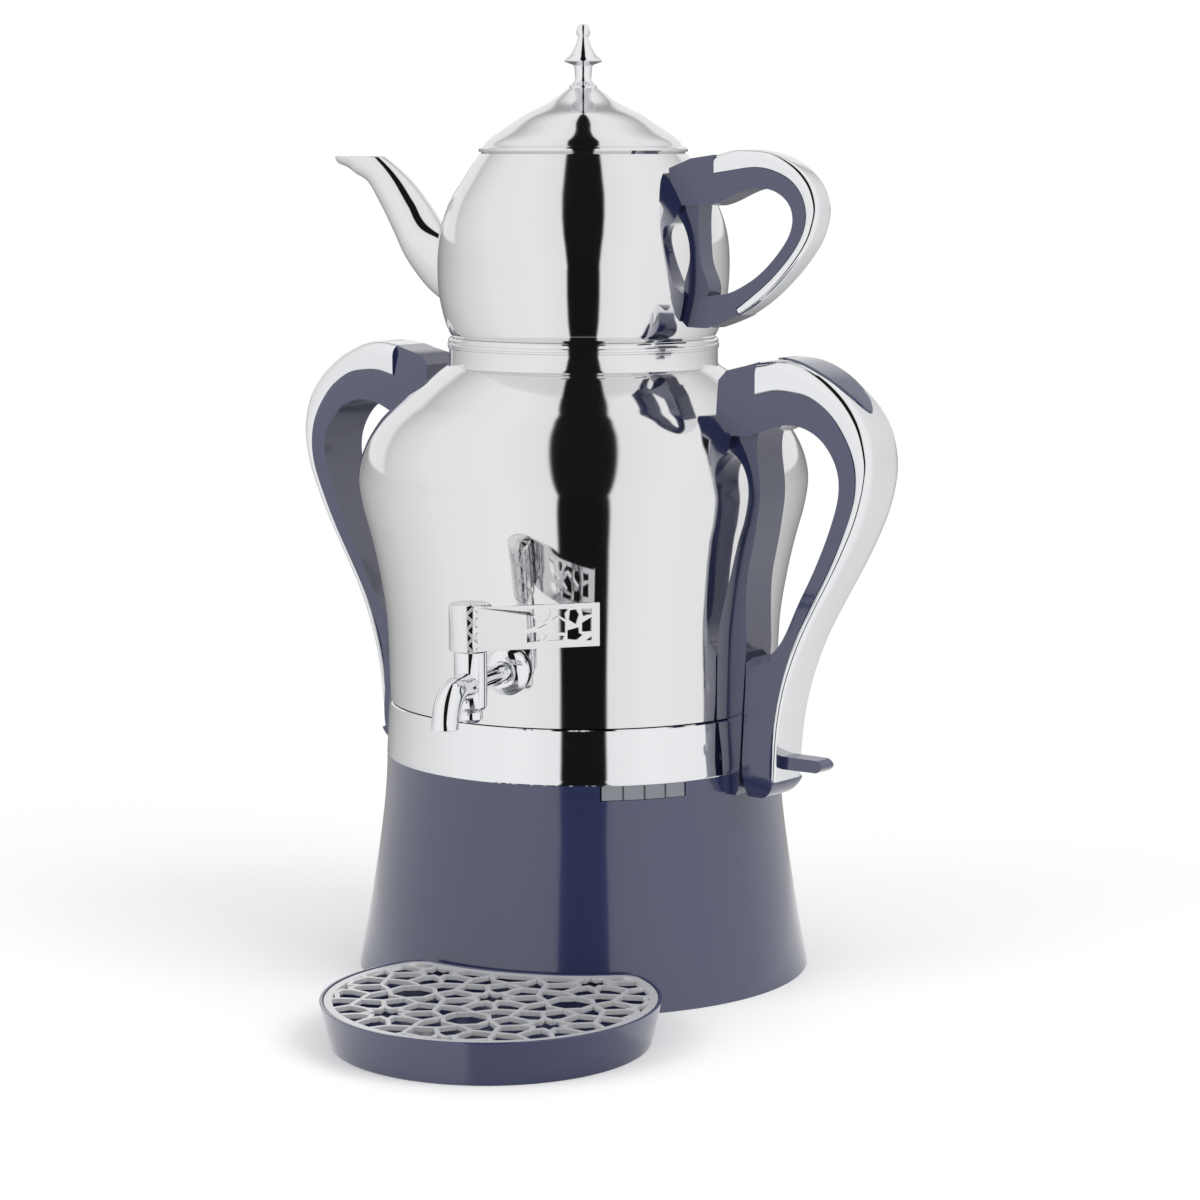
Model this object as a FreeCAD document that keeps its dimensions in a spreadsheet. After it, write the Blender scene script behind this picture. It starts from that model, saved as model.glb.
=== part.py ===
# A two-tier electric samovar: a steel kettle with a tap on a moulded base, and a teapot on its neck.
# Millimetres. The origin is on the kettle's axis at the surface it stands on, +Z is up, and the two
# carrying handles lie along X. The tap, the drip tray and the lamp window look towards -Y.

import FreeCAD
import Part
import Sketcher

import math
import os
import re

# The driving dimensions. Angles are in degrees, counted from +X towards +Y.
SIZES = {
    # Moulded base
    "base_r": 109.0,
    "base_top_r": 95.0,
    "base_high": 103.7,
    "base_wall": 2.8,
    "plate_up": 3.0,
    "plate_thick": 2.5,
    "foot_r": 8.0,
    "foot_ring_r": 78.0,
    "boss_ring_r": 98.5,
    "boss_r": 5.0,
    "boss_high": 14.0,
    "screw_r": 1.9,
    "screw_head_r": 3.8,
    "screw_head_high": 1.8,
    "screw_long": 11.0,
    # Chrome band
    "band_high": 25.9,
    "band_top_r": 93.7,
    "band_wall": 1.0,
    "seam": 0.4,
    # Kettle
    "kettle_r": 93.2,
    "belly_r": 107.5,
    "belly_up": 104.6,
    "shoulder_up": 157.6,
    "neck_r": 64.1,
    "neck_high": 11.7,
    "kettle_wall": 1.0,
    "skirt_high": 8.0,
    "heater_r": 56.0,
    "heater_thick": 6.0,
    "element_ring_r": 45.0,
    "element_r": 4.0,
    # Lamp window
    "window_turn": -34.5,
    "window_arc": 24.5,
    "window_high": 6.6,
    "window_thick": 2.4,
    "lamp_r": 2.2,
    # Carrying handles
    "handle_reach": 171.5,
    "handle_rise": 9.9,
    "handle_drop": 9.2,
    "handle_wide": 28.0,
    "collar_in": 19.0,
    "collar_long": 21.5,
    "strip_thick": 4.0,
    "strip_wide": 20.0,
    "stud_r": 3.0,
    "pad_long": 50.0,
    "pad_wide": 19.0,
    "pad_thick": 1.5,
    # Switch in the right handle
    "switch_z": 111.5,
    "switch_x": 103.5,
    "switch_wide": 10.0,
    "switch_thick": 6.4,
    "switch_out": 22.0,
    "slot_high": 20.5,
    "switch_room": 16.0,
    # Tap
    "tap_turn": -73.0,
    "tap_z": 156.3,
    "valve_out": 136.7,
    "outlet_bend": 14.0,
    "outlet_run": 13.9,
    "outlet_drop": 1.5,
    "outlet_r": 6.0,
    "pipe_r": 5.0,
    "valve_r": 7.4,
    "plug_r": 4.6,
    "port_r": 3.0,
    "cap_z": 15.2,
    "cap_r": 9.5,
    "cap_high": 21.2,
    "rosette_r": 11.3,
    "lever_turn": 128.5,
    "lever_long": 57.0,
    "lever_high": 19.5,
    "lever_thick": 1.8,
    # Steam ring and teapot
    "ring_flange": 1.4,
    "ring_drop": 8.0,
    "ring_sheet": 1.0,
    "pot_base_r": 62.4,
    "pot_r": 69.5,
    "pot_belly_up": 35.1,
    "pot_high": 87.0,
    "mouth_r": 48.0,
    "pot_wall": 1.0,
    "lid_rim_r": 49.5,
    "lid_high": 29.8,
    "lid_top_r": 7.0,
    "lid_sheet": 0.9,
    "knob_high": 29.7,
    "knob_r": 8.8,
    # Teapot handle and spout
    "pot_reach": 138.0,
    "pot_handle_drop": 80.5,
    "pot_handle_wide": 14.0,
    "pot_strip_wide": 10.0,
    "pot_strip_thick": 3.0,
    "spout_reach": 153.5,
    "spout_wall": 1.0,
    "spout_cut": 85.0,
    # Drip tray
    "tray_turn": -67.0,
    "tray_out": 153.6,
    "tray_r": 76.0,
    "tray_high": 20.0,
    "tray_taper": 5.0,
    "tray_wall": 3.2,
    "tray_floor": 2.5,
    "tray_gap": 0.3,
    "tray_corner": 12.0,
    "grille_inset": 1.7,
    "grille_thick": 2.0,
    "grille_rim": 3.6,
    "star_pitch": 51.6,
    "star_r": 11.0,
    "strap": 2.1,
    "fit": 0.3,
}

# What follows from them.
DERIVED = {
    "kettle_z": "base_high + band_high + seam",
    "belly_z": "kettle_z + belly_up",
    "shoulder_z": "kettle_z + shoulder_up",
    "neck_z": "shoulder_z + neck_high",
    "skirt_r": "kettle_r - band_wall - 0.5",
    "handle_top": "shoulder_z + handle_rise",
    "handle_foot": "base_high - handle_drop",
    "pot_z": "neck_z + ring_flange + 2.8",
    "mouth_z": "pot_z + pot_high",
    "apex_z": "mouth_z + lid_high",
    "pot_handle_foot": "mouth_z - pot_handle_drop",
    "pot_handle_top": "mouth_z + 0.5",
    "spout_z": "pot_z + spout_cut",
    "collar_x": "belly_r - collar_in",
    "collar_end": "collar_x + collar_long",
    "pot_collar_end": "pot_r + 12",
    "plate_top": "plate_up + plate_thick",
    "handle_screw_z": "base_high - 4.5",
    "handle_tip_x": "switch_x + switch_out + 17",
}

doc = FreeCAD.newDocument("Samovar")
sizes = doc.addObject("Spreadsheet::Sheet", "Sizes")
row = 0
for alias, value in {**SIZES, **DERIVED}.items():
    row += 1
    sizes.set(f"A{row}", alias)
    sizes.set(f"B{row}", str(value) if alias in SIZES else f"={value}")
    sizes.setAlias(f"B{row}", alias)
# A second sheet works out single expressions, so that the sizes stay untouched.
reckoner = doc.addObject("Spreadsheet::Sheet", "Reckoner")
doc.recompute()

nodes = []


def in_sheet(expression):
    """The same expression with each of its names looked up in the sheet."""
    return re.sub(r"\b([a-z]\w*)\b(?!\()", r"Sizes.\1", expression)


def number(expression):
    """The value of an expression in the names of the sizes."""
    reckoner.set("A1", "=" + in_sheet(expression))
    reckoner.recompute()
    return float(reckoner.get("A1"))


def bind(thing, prop, expression):
    """Ties a property to the sheet."""
    thing.setExpression(prop, in_sheet(expression))


def node(thing, name):
    """Marks an object as a finished sub-part with its own name."""
    thing.Label = name
    nodes.append(thing)
    return thing


def origin_plane(body, role):
    """One of a body's own origin planes."""
    return next(f for f in body.Origin.OriginFeatures if f.Role == role)


def start_sketch(body, role, lift="0"):
    """An empty sketch on one of a body's origin planes, lifted along its normal."""
    sketch = body.newObject("Sketcher::SketchObject", body.Name + "Sketch")
    sketch.AttachmentSupport = [(origin_plane(body, role), "")]
    sketch.MapMode = "FlatFace"
    bind(sketch, "AttachmentOffset.Base.z", lift)
    return sketch


def draw(sketch, outline):
    """A closed outline. A pair is a corner; a list of pairs between two corners is a smooth curve."""
    corners = [i for i, item in enumerate(outline) if isinstance(item, tuple)]
    first = sketch.GeometryCount

    def point(pair):
        return FreeCAD.Vector(number(pair[0]), number(pair[1]), 0)

    for k, i in enumerate(corners):
        here = point(outline[i])
        there = point(outline[corners[(k + 1) % len(corners)]])
        bends = outline[i + 1] if i + 1 < len(outline) and i + 1 not in corners else []
        if bends:
            curve = Part.BSplineCurve()
            curve.interpolate([here] + [point(pair) for pair in bends] + [there])
            sketch.addGeometry(curve)
        else:
            sketch.addGeometry(Part.LineSegment(here, there))
    for k, i in enumerate(corners):
        edge = first + k
        after = first + (k + 1) % len(corners)
        sketch.addConstraint(Sketcher.Constraint("Coincident", edge, 2, after, 1))
        for kind, expression in zip(("DistanceX", "DistanceY"), outline[i]):
            value = number(expression)
            index = sketch.addConstraint(Sketcher.Constraint(kind, -1, 1, edge, 1, value))
            bind(sketch, f"Constraints[{index}]", expression)


def turned(name, outline, angle="360", axis="V_Axis"):
    """A body turned about Z (or, with H_Axis, about X) from an outline of (distance, height) pairs."""
    body = doc.addObject("PartDesign::Body", name)
    sketch = start_sketch(body, "XZ_Plane")
    draw(sketch, outline)
    turn = body.newObject("PartDesign::Revolution", name + "Turn")
    turn.Profile = sketch
    turn.ReferenceAxis = (sketch, [axis])
    bind(turn, "Angle", angle)
    doc.recompute()
    return body


def padded(name, role, outlines, thick, both=True, lift="0"):
    """A body padded from closed outlines on an origin plane, to both sides or to the normal's side."""
    body = doc.addObject("PartDesign::Body", name)
    sketch = start_sketch(body, role, lift)
    for outline in outlines:
        draw(sketch, outline)
    pad = body.newObject("PartDesign::Pad", name + "Pad")
    pad.Profile = sketch
    pad.SideType = "Symmetric" if both else "One side"
    bind(pad, "Length", thick)
    doc.recompute()
    return body


def combined(kind, name, first, others):
    """A boolean of one object with one or more others: Cut, Common or Fuse."""
    others = others if isinstance(others, list) else [others]
    if kind == "Fuse":
        result = doc.addObject("Part::MultiFuse", name)
        result.Shapes = [first] + others
        result.Refine = True
        doc.recompute()
        return result
    tool = others[0]
    if len(others) > 1:
        tool = doc.addObject("Part::Compound", name + "Tools")
        tool.Links = others
    result = doc.addObject("Part::" + kind, name)
    result.Base = first
    result.Tool = tool
    doc.recompute()
    return result


def cylinder(name, radius, high, at=("0", "0", "0"), axis=(0, 0, 1)):
    """A cylinder from the point at, along an axis."""
    rod = doc.addObject("Part::Cylinder", name)
    bind(rod, "Radius", radius)
    bind(rod, "Height", high)
    rod.Placement.Rotation = FreeCAD.Rotation(FreeCAD.Vector(0, 0, 1), FreeCAD.Vector(*axis))
    for letter, expression in zip("xyz", at):
        bind(rod, f"Placement.Base.{letter}", expression)
    return rod


def box(name, spans):
    """A box from (start, length) pairs along X, Y and Z."""
    block = doc.addObject("Part::Box", name)
    for letter, prop, (start, length) in zip("xyz", ("Length", "Width", "Height"), spans):
        bind(block, prop, length)
        bind(block, f"Placement.Base.{letter}", start)
    return block


def around(name, thing, turn, lift="0"):
    """The same piece turned about the samovar's axis and lifted."""
    group = doc.addObject("Part::Compound", name)
    group.Links = thing if isinstance(thing, list) else [thing]
    upright = FreeCAD.Vector(0, 0, 1)
    group.Placement = FreeCAD.Placement(FreeCAD.Vector(0, 0, 0), FreeCAD.Rotation(upright, 1))
    bind(group, "Placement.Rotation.Angle", turn)
    bind(group, "Placement.Base.z", lift)
    doc.recompute()
    return group


def together(name, things):
    """One node of several separate pieces."""
    group = doc.addObject("Part::Compound", name)
    group.Links = things
    doc.recompute()
    return group


def block(inner, outer, low, high):
    """The outline of a plain ring between two radii and two heights."""
    return [(inner, low), (outer, low), (outer, high), (inner, high)]


def moved_in(points, distance):
    """The same curve moved inwards, square to the surface. A point is (radius, height, tilt)."""
    result = []
    for radius, height, tilt in points:
        across = math.cos(math.radians(tilt))
        along = math.sin(math.radians(tilt))
        result.append((f"{radius} - ({distance}) * {across:.4f}",
                       f"{height} - ({distance}) * ({along:.4f})"))
    return result


def plain(points):
    """A curve's points without their tilts."""
    return [(radius, height) for radius, height, _ in points]


def shell(start, bends, end, wall):
    """The outline of a turned sheet: up its outside from start to end, and down its inside."""
    outside = [start, plain(bends), end]
    inside = [(f"{end[0]} - {wall}", end[1]), moved_in(bends, wall)[::-1],
              (f"{start[0]} - {wall}", start[1])]
    return outside + inside


# The walls' curves, from low to high, as shares of the span between the radii and heights they join.
base_bends = [
    (f"base_top_r + {share} * (base_r - base_top_r)", f"{up} * base_high", tilt)
    for up, share, tilt in ((0.107, 0.85, 11), (0.228, 0.686, 10), (0.42, 0.45, 9), (0.6, 0.25, 7),
                            (0.8, 0.075, 4))
]
flank_bends = [
    (f"kettle_r + {share} * (belly_r - kettle_r)", f"kettle_z + {up} * belly_up", tilt)
    for up, share, tilt in ((0.28, 0.055, -3), (0.53, 0.255, -9), (0.66, 0.44, -13), (0.77, 0.62, -14),
                            (0.9, 0.88, -10))
]
shoulder_bends = [
    (f"neck_r + {share} * (belly_r - neck_r)", f"belly_z + {up} * (shoulder_up - belly_up)", tilt)
    for up, share, tilt in ((0.182, 0.979, 12), (0.37, 0.894, 27), (0.541, 0.76, 40), (0.757, 0.48, 50))
]
belly = ("belly_r", "belly_z", 0)
neck_root = ("neck_r + 0.094 * (belly_r - neck_r)", "shoulder_z")
kettle_bends = flank_bends + [belly] + shoulder_bends
pot_low_bends = [
    (f"pot_base_r + {share} * (pot_r - pot_base_r)", f"pot_z + {up} * pot_belly_up", tilt)
    for up, share, tilt in ((0.08, 0.23, -28), (0.353, 0.66, -15), (0.7, 0.944, -5))
]
pot_high_bends = [
    (f"mouth_r + {share} * (pot_r - mouth_r)",
     f"pot_z + pot_belly_up + {up} * (pot_high - pot_belly_up)", tilt)
    for up, share, tilt in ((0.173, 0.977, 6), (0.437, 0.823, 22), (0.726, 0.451, 31), (0.87, 0.23, 35))
]
pot_belly = ("pot_r", "pot_z + pot_belly_up", 0)
pot_bends = pot_low_bends + [pot_belly] + pot_high_bends


def standing_walls():
    """The whole outside of base, band and kettle as one solid, for what seats against it."""
    outline = [("0", "0"), ("base_r", "0"), plain(base_bends), ("base_top_r", "base_high")]
    outline += [("band_top_r", "kettle_z"), ("kettle_r", "kettle_z"), plain(kettle_bends), neck_root]
    outline += [("neck_r", "shoulder_z + 1.5"), ("neck_r", "neck_z"), ("0", "neck_z")]
    return turned("StandingWalls", outline)


def pot_walls():
    """The whole outside of the teapot's bowl as one solid, for its handle and spout."""
    outline = [("0", "pot_z"), ("pot_base_r", "pot_z"), plain(pot_bends), ("mouth_r", "mouth_z"),
               ("0", "mouth_z")]
    return turned("PotWalls", outline)


walls = standing_walls()
bowl = pot_walls()
# The back of the samovar, opposite the tap, where the mains lead comes in.
back_turn = "tap_turn + 180"


def make_base():
    """The moulded base: shell with screw bosses, bottom plate, feet, screws and the lead's bush."""
    skin = turned("BaseSkin", shell(("base_r", "0"), base_bends, ("base_top_r", "base_high"),
                                    "base_wall"))
    bosses = []
    screws = []
    plate = turned("PlateDisc", block("0", "base_r - base_wall - 1.2", "plate_up", "plate_top"))
    holes = []
    for k, turn in enumerate(("62", "152", "242", "332")):
        boss = cylinder(f"Boss{k}", "boss_r", "boss_high", ("boss_ring_r", "0", "plate_top"))
        bore = cylinder(f"BossBore{k}", "screw_r", "screw_long", ("boss_ring_r", "0", "plate_top - 1"))
        bosses.append(around(f"BossTurned{k}", combined("Cut", f"BossBored{k}", boss, bore), turn))
        screws.append(around(f"BaseScrew{k}",
                             make_screw(f"BaseScrewBody{k}", "boss_ring_r", "plate_up"), turn))
        hole = cylinder(f"PlateHole{k}", "screw_r + 0.2", "plate_thick + 2",
                        ("boss_ring_r", "0", "plate_up - 1"))
        holes.append(around(f"PlateHoleTurned{k}", hole, turn))
    rim_bosses = combined("Common", "RimBosses", together("Bosses", bosses), walls)
    slot = turned("Slot", block("base_top_r - 9", "base_top_r + 5", "base_high - window_high - 0.2",
                                "base_high + 1"),
                  "window_arc + 0.6")
    slot = around("SlotTurned", slot, "window_turn - window_arc / 2 - 0.3")
    lead_hole = around("LeadHole",
                       cylinder("LeadHoleRod", "5.4", "30", ("base_r - 22", "0", "18"), (1, 0, 0)),
                       back_turn)
    screw_holes = [
        cylinder(f"HandleScrewHole{k}", "screw_r + 0.1", "24", (x, "0", "handle_screw_z"), (side, 0, 0))
        for k, (side, x) in enumerate(((1, "base_top_r - 12"), (-1, "12 - base_top_r")))
    ]
    bossed = combined("Fuse", "BossedSkin", skin, [rim_bosses])
    node(combined("Cut", "BaseShell", bossed, [slot, lead_hole] + screw_holes), "base_shell")
    node(combined("Cut", "BasePlate", plate, holes), "base_plate")
    node(together("BaseScrews", screws), "base_screws")
    for k, turn in enumerate(("17", "107", "197", "287")):
        foot = cylinder(f"Foot{k}", "foot_r", "plate_up", ("foot_ring_r", "0", "0"))
        node(around(f"FootTurned{k}", foot, turn), f"rubber_foot_{k + 1}")
    bush = turned("Bush", [("base_r - 20", "2.6"), ("base_r - 20", "8"), ("base_r - 17.5", "8"),
                           ("base_r - 17.5", "5.3"),
                           ("base_r + 1", "5.3"), ("base_r + 1", "8"), ("base_r + 3", "8"),
                           ("base_r + 9", "5"),
                           ("base_r + 9", "2.6")], axis="H_Axis")
    bush = around("BushTurned", bush, back_turn, "18")
    node(combined("Cut", "LeadBush", bush, around("BushSeat", make_base_ring(), "0")), "lead_bush")


def make_base_ring():
    """The shell's wall alone, solid, with the bush's hole in it, so that the bush grips it face to face."""
    ring = turned("BaseRing", shell(("base_r", "0"), base_bends, ("base_top_r", "base_high"),
                                    "base_wall"))
    hole = around("RingHole", cylinder("RingHoleRod", "5.4", "30", ("base_r - 22", "0", "18"),
                                       (1, 0, 0)), back_turn)
    return combined("Cut", "BoredRing", ring, hole)


def make_screw(name, x, head_z):
    """A pan-head screw standing on its head at the distance x from the axis, going up from head_z."""
    outline = [("0", f"{head_z} - screw_head_high"), ("screw_head_r", f"{head_z} - screw_head_high"),
               ("screw_head_r", head_z), ("screw_r", head_z), ("screw_r", f"{head_z} + screw_long"),
               ("0", f"{head_z} + screw_long + screw_r")]
    screw = turned(name, outline)
    bind(screw, "Placement.Base.x", x)
    doc.recompute()
    return screw


def make_band():
    """The chrome band between base and kettle, a ring with its lower edge turned in."""
    outline = [("base_top_r - 0.1", "base_high"), ("base_top_r", "base_high + 0.4"),
               ("band_top_r", "base_high + band_high - 0.6"),
               ("band_top_r - 0.6", "base_high + band_high"),
               ("band_top_r - band_wall", "base_high + band_high"),
               ("base_top_r - band_wall", "base_high + 1"), ("base_top_r - 4", "base_high + 1"),
               ("base_top_r - 4", "base_high")]
    band = turned("Band", outline)
    node(band, "base_band")


def make_kettle():
    """The steel kettle with its neck, its welded floor, and the heater sealed below the floor."""
    low = [("skirt_r", "kettle_z - skirt_high"), ("skirt_r", "kettle_z - 0.2"),
           ("kettle_r", "kettle_z")]
    rise = [plain(kettle_bends), neck_root, ("neck_r", "shoulder_z + 1.5"), ("neck_r", "neck_z - 1.2"),
            ("neck_r + 0.5", "neck_z - 0.8"), ("neck_r + 0.5", "neck_z"),
            ("neck_r - kettle_wall - 0.2", "neck_z")]
    inside = [("neck_r - kettle_wall", "shoulder_z + 1"),
              (f"{neck_root[0]} - kettle_wall * 0.6", "shoulder_z - kettle_wall * 0.8"),
              moved_in(kettle_bends, "kettle_wall")[::-1], ("kettle_r - kettle_wall", "kettle_z + 0.8"),
              ("skirt_r - kettle_wall", "kettle_z"), ("skirt_r - kettle_wall", "kettle_z - skirt_high")]
    skin = turned("KettleSkin", low + rise + inside)
    tap_hole = cylinder("TapHoleRod", "pipe_r + 0.3", "40", ("kettle_r - 25", "0", "0"), (1, 0, 0))
    node(combined("Cut", "KettleShell", skin, around("TapHole", tap_hole, "tap_turn", "tap_z")),
         "kettle_shell")

    floor_r = "skirt_r - kettle_wall - 0.05"
    floor = [("0", "kettle_z - 3"), (f"{floor_r} - 5", "kettle_z - 3"),
             (f"{floor_r} - 2", "kettle_z - 5"),
             (f"{floor_r}", "kettle_z - 5"), (floor_r, "kettle_z - 0.4"),
             (f"{floor_r} - 1", "kettle_z - 0.4"),
             (f"{floor_r} - 1", "kettle_z - 4"), (f"{floor_r} - 2", "kettle_z - 4"),
             (f"{floor_r} - 5", "kettle_z - 2"),
             ("0", "kettle_z - 2")]
    node(turned("KettleFloor", floor), "kettle_floor")
    under = "kettle_z - 3 - heater_thick"
    node(turned("HeaterPlate", block("0", "heater_r", under, "kettle_z - 3")), "heater_plate")

    tube_z = f"{under} - element_r"
    section = doc.addObject("Part::Torus", "ElementRing")
    bind(section, "Radius1", "element_ring_r")
    bind(section, "Radius2", "element_r")
    section.Angle3 = 320
    bind(section, "Placement.Base.z", tube_z)
    ends = [cylinder(f"ElementEnd{k}", "element_r * 0.7", "16", at, (0, 0, -1))
            for k, at in enumerate((("element_ring_r", "3", tube_z),
                                    ("element_ring_r * 0.7660", "-element_ring_r * 0.6428 - 3",
                                     tube_z)))]
    node(combined("Fuse", "HeatingElement", section, ends), "heating_element")
    node(turned("Thermostat", block("0", "9", f"{under} - 12", under)), "thermostat")
    cutout = cylinder("CutoutRod", "6", "9", ("20", "0", under), (0, 0, -1))
    node(cutout, "thermal_cutout")


def make_window():
    """The lamp window under the band, its lamps, their holder and the board behind them."""
    window = [("base_top_r - window_thick", "base_high - window_high"),
              ("base_top_r + 0.35", "base_high - window_high"),
              ("base_top_r", "base_high - 0.1"), ("base_top_r - window_thick", "base_high - 0.1")]
    start = "window_turn - window_arc / 2"
    node(around("Window", turned("WindowStrip", window, "window_arc"), start), "indicator_window")
    holder_out = "base_top_r - window_thick - 0.6"
    holder = turned("HolderArc",
                    block(f"{holder_out} - 5", holder_out, "base_high - 12", "base_high - 0.3"),
                    "window_arc - 1")
    holder = around("HolderTurned", holder, f"{start} + 0.5")
    lamps = []
    bores = []
    for k in range(4):
        turn = f"{start} + window_arc * {0.2 + 0.2 * k:.1f}"
        at = (f"{holder_out} - 6.4", "0", "base_high - window_high / 2 - 0.3")
        lamps.append(around(f"Lamp{k}", cylinder(f"LampRod{k}", "lamp_r", "6.2", at, (1, 0, 0)), turn))
        bores.append(around(f"LampBore{k}",
                            cylinder(f"LampBoreRod{k}", "lamp_r + 0.05", "9", at, (1, 0, 0)), turn))
    node(combined("Cut", "LampHolder", holder, bores), "lamp_holder")
    node(together("Lamps", lamps), "indicator_lamps")
    board = box("BoardBox", ((f"{holder_out} - 12", "1.6"), ("-21", "42"), ("base_high - 13", "12.5")))
    board = around("Board", board, "window_turn")
    spacers = around("Spacers", [
        box(f"Spacer{k}", ((f"{holder_out} - 10.4", "6"), (y, "3"), ("base_high - 11.5", "3"))) for k,
                                 y in enumerate(("-17", "14"))
    ], "window_turn")
    node(combined("Cut", "ControlBoard", combined("Fuse", "BoardOnSpacers", board, [spacers]),
                  turned("HolderSeat",
                         block(f"{holder_out} - 5", "base_top_r + 9", "base_high - 20",
                               "base_high + 5"))), "control_board")


def across(share):
    """A distance from the axis, as a share of the way from the belly to a handle's outermost point."""
    return f"belly_r + ({share}) * (handle_reach - belly_r)"


def up(share):
    """A height, as a share of the way from a handle's foot to its top."""
    return f"handle_foot + {share} * (handle_top - handle_foot)"


def loop(points):
    """A handle's curve from (share outwards, share upwards) pairs."""
    return [(across(out), up(rise)) for out, rise in points]


handle_outer = loop(((0.21, 1.0), (0.367, 0.994), (0.53, 0.975), (0.68, 0.948), (0.82, 0.911),
                     (0.93, 0.8645),
                     (0.989, 0.81), (1.0, 0.7586), (0.953, 0.682), (0.844, 0.5985), (0.695, 0.515),
                     (0.547, 0.436),
                     (0.422, 0.362), (0.3125, 0.278), (0.25, 0.2044), (0.219, 0.1355), (0.205, 0.0665)))
handle_split = loop(((0.195, 0.93), (0.3516, 0.9286), (0.508, 0.9187), (0.672, 0.8867), (0.797, 0.84),
                     (0.875, 0.79),
                     (0.898, 0.7414), (0.875, 0.6847), (0.78, 0.6084), (0.656, 0.5296),
                     (0.5156, 0.453), (0.383, 0.377),
                     (0.278, 0.2906), (0.2156, 0.2143), (0.18, 0.14), (0.169, 0.0764)))
handle_gap = loop(((0.148, 0.3325), (0.281, 0.377), (0.39, 0.443), (0.5156, 0.515), (0.633, 0.591),
                   (0.711, 0.6527),
                   (0.755, 0.702), (0.755, 0.7537), (0.703, 0.793), (0.617, 0.825), (0.508, 0.846),
                   (0.367, 0.856),
                   (0.21, 0.85)))


def on_wall(bends, proud):
    """Points in front of the kettle's wall, each by its own share of the strip's thickness."""
    return [(f"{radius} + {share} * strip_thick", height) for (radius, height, _),
            share in zip(bends, proud)]


strip_face = on_wall(flank_bends[1:] + [belly] + shoulder_bends[:2],
                     (1.6, 1.2, 1.2, 0.9, 0.8, 0.9, 1.5))


def handle_solids(side):
    """A handle's moulded core and chrome cover, along +X, before its own cut-outs."""
    start = ("collar_end", up(0.992))
    low = ("collar_end", up(0.919))
    tip = (across(0.164), up(0.0468))
    end = (across(0.2), up(0.0418))
    cover = [start, handle_outer, end, tip, handle_split[::-1], low]
    collar = [("collar_x", "handle_foot + 0.825 * (handle_top - handle_foot)"), ("collar_x", up(0.948)),
              ("collar_x + 4", up(0.97)), ("collar_x + 15", up(0.983)), start, low]
    heel = [handle_split, tip, end, [(across(0.17), up(0.022))], (across(0.07), "handle_foot"),
            ("belly_r - 3.5", "handle_foot"),
            ("belly_r - 4.5", up(0.2)), ("belly_r - 3.5", up(0.31)), (across(0.0156), up(0.325))]
    crook = [handle_gap, (across(0.086), up(0.835)),
             ("belly_r - 1.5", "handle_foot + 0.825 * (handle_top - handle_foot)")]
    ridge = [("kettle_r - 6", "handle_foot"), ("kettle_r - 6", up(0.835)), (across(0.04), up(0.835)),
             strip_face[::-1],
             ("kettle_r + 2.6 * strip_thick", up(0.35)), ("kettle_r + 2.1 * strip_thick", up(0.2)),
             ("kettle_r + 1.6 * strip_thick", "handle_foot + 3"),
             ("kettle_r + 1.2 * strip_thick", "handle_foot")]
    front = doc.addObject("PartDesign::Body", f"{side}Front")
    sketch = start_sketch(front, "YZ_Plane")
    flank = (("0.3", "0"), ("0.4", "0.025"), ("0.405", "0.15"), ("0.42", "0.4"), ("0.49", "0.7"),
             ("0.5", "0.85"))
    right = [(f"{y} * handle_wide", f"handle_foot + {z} * (handle_top - handle_foot)") for y,
             z in flank]
    left = [(f"-{y} * handle_wide", f"handle_foot + {z} * (handle_top - handle_foot)") for y,
            z in flank]
    top = [("0.36 * handle_wide", "handle_top + 0.5"), ("-0.36 * handle_wide", "handle_top + 0.5")]
    draw(sketch, [right[0], right[1:], top[0], top[1], left[1:][::-1], left[0]])
    pad = front.newObject("PartDesign::Pad", f"{side}FrontPad")
    pad.Profile = sketch
    bind(pad, "Length", "handle_reach + 20")
    doc.recompute()
    arm = padded(f"{side}Arm", "XZ_Plane", [collar + heel + crook], "handle_wide + 2")
    arm = combined("Common", f"{side}ArmShaped", arm, front)
    spine = padded(f"{side}Spine", "XZ_Plane", [ridge], "strip_wide")
    core = combined("Cut", f"{side}CoreSeated", combined("Fuse", f"{side}CoreRaw", arm, [spine]), walls)
    shaped = combined("Common", f"{side}CoverShaped",
                      padded(f"{side}Cover", "XZ_Plane", [cover], "handle_wide + 2"), front)
    return core, shaped


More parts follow.
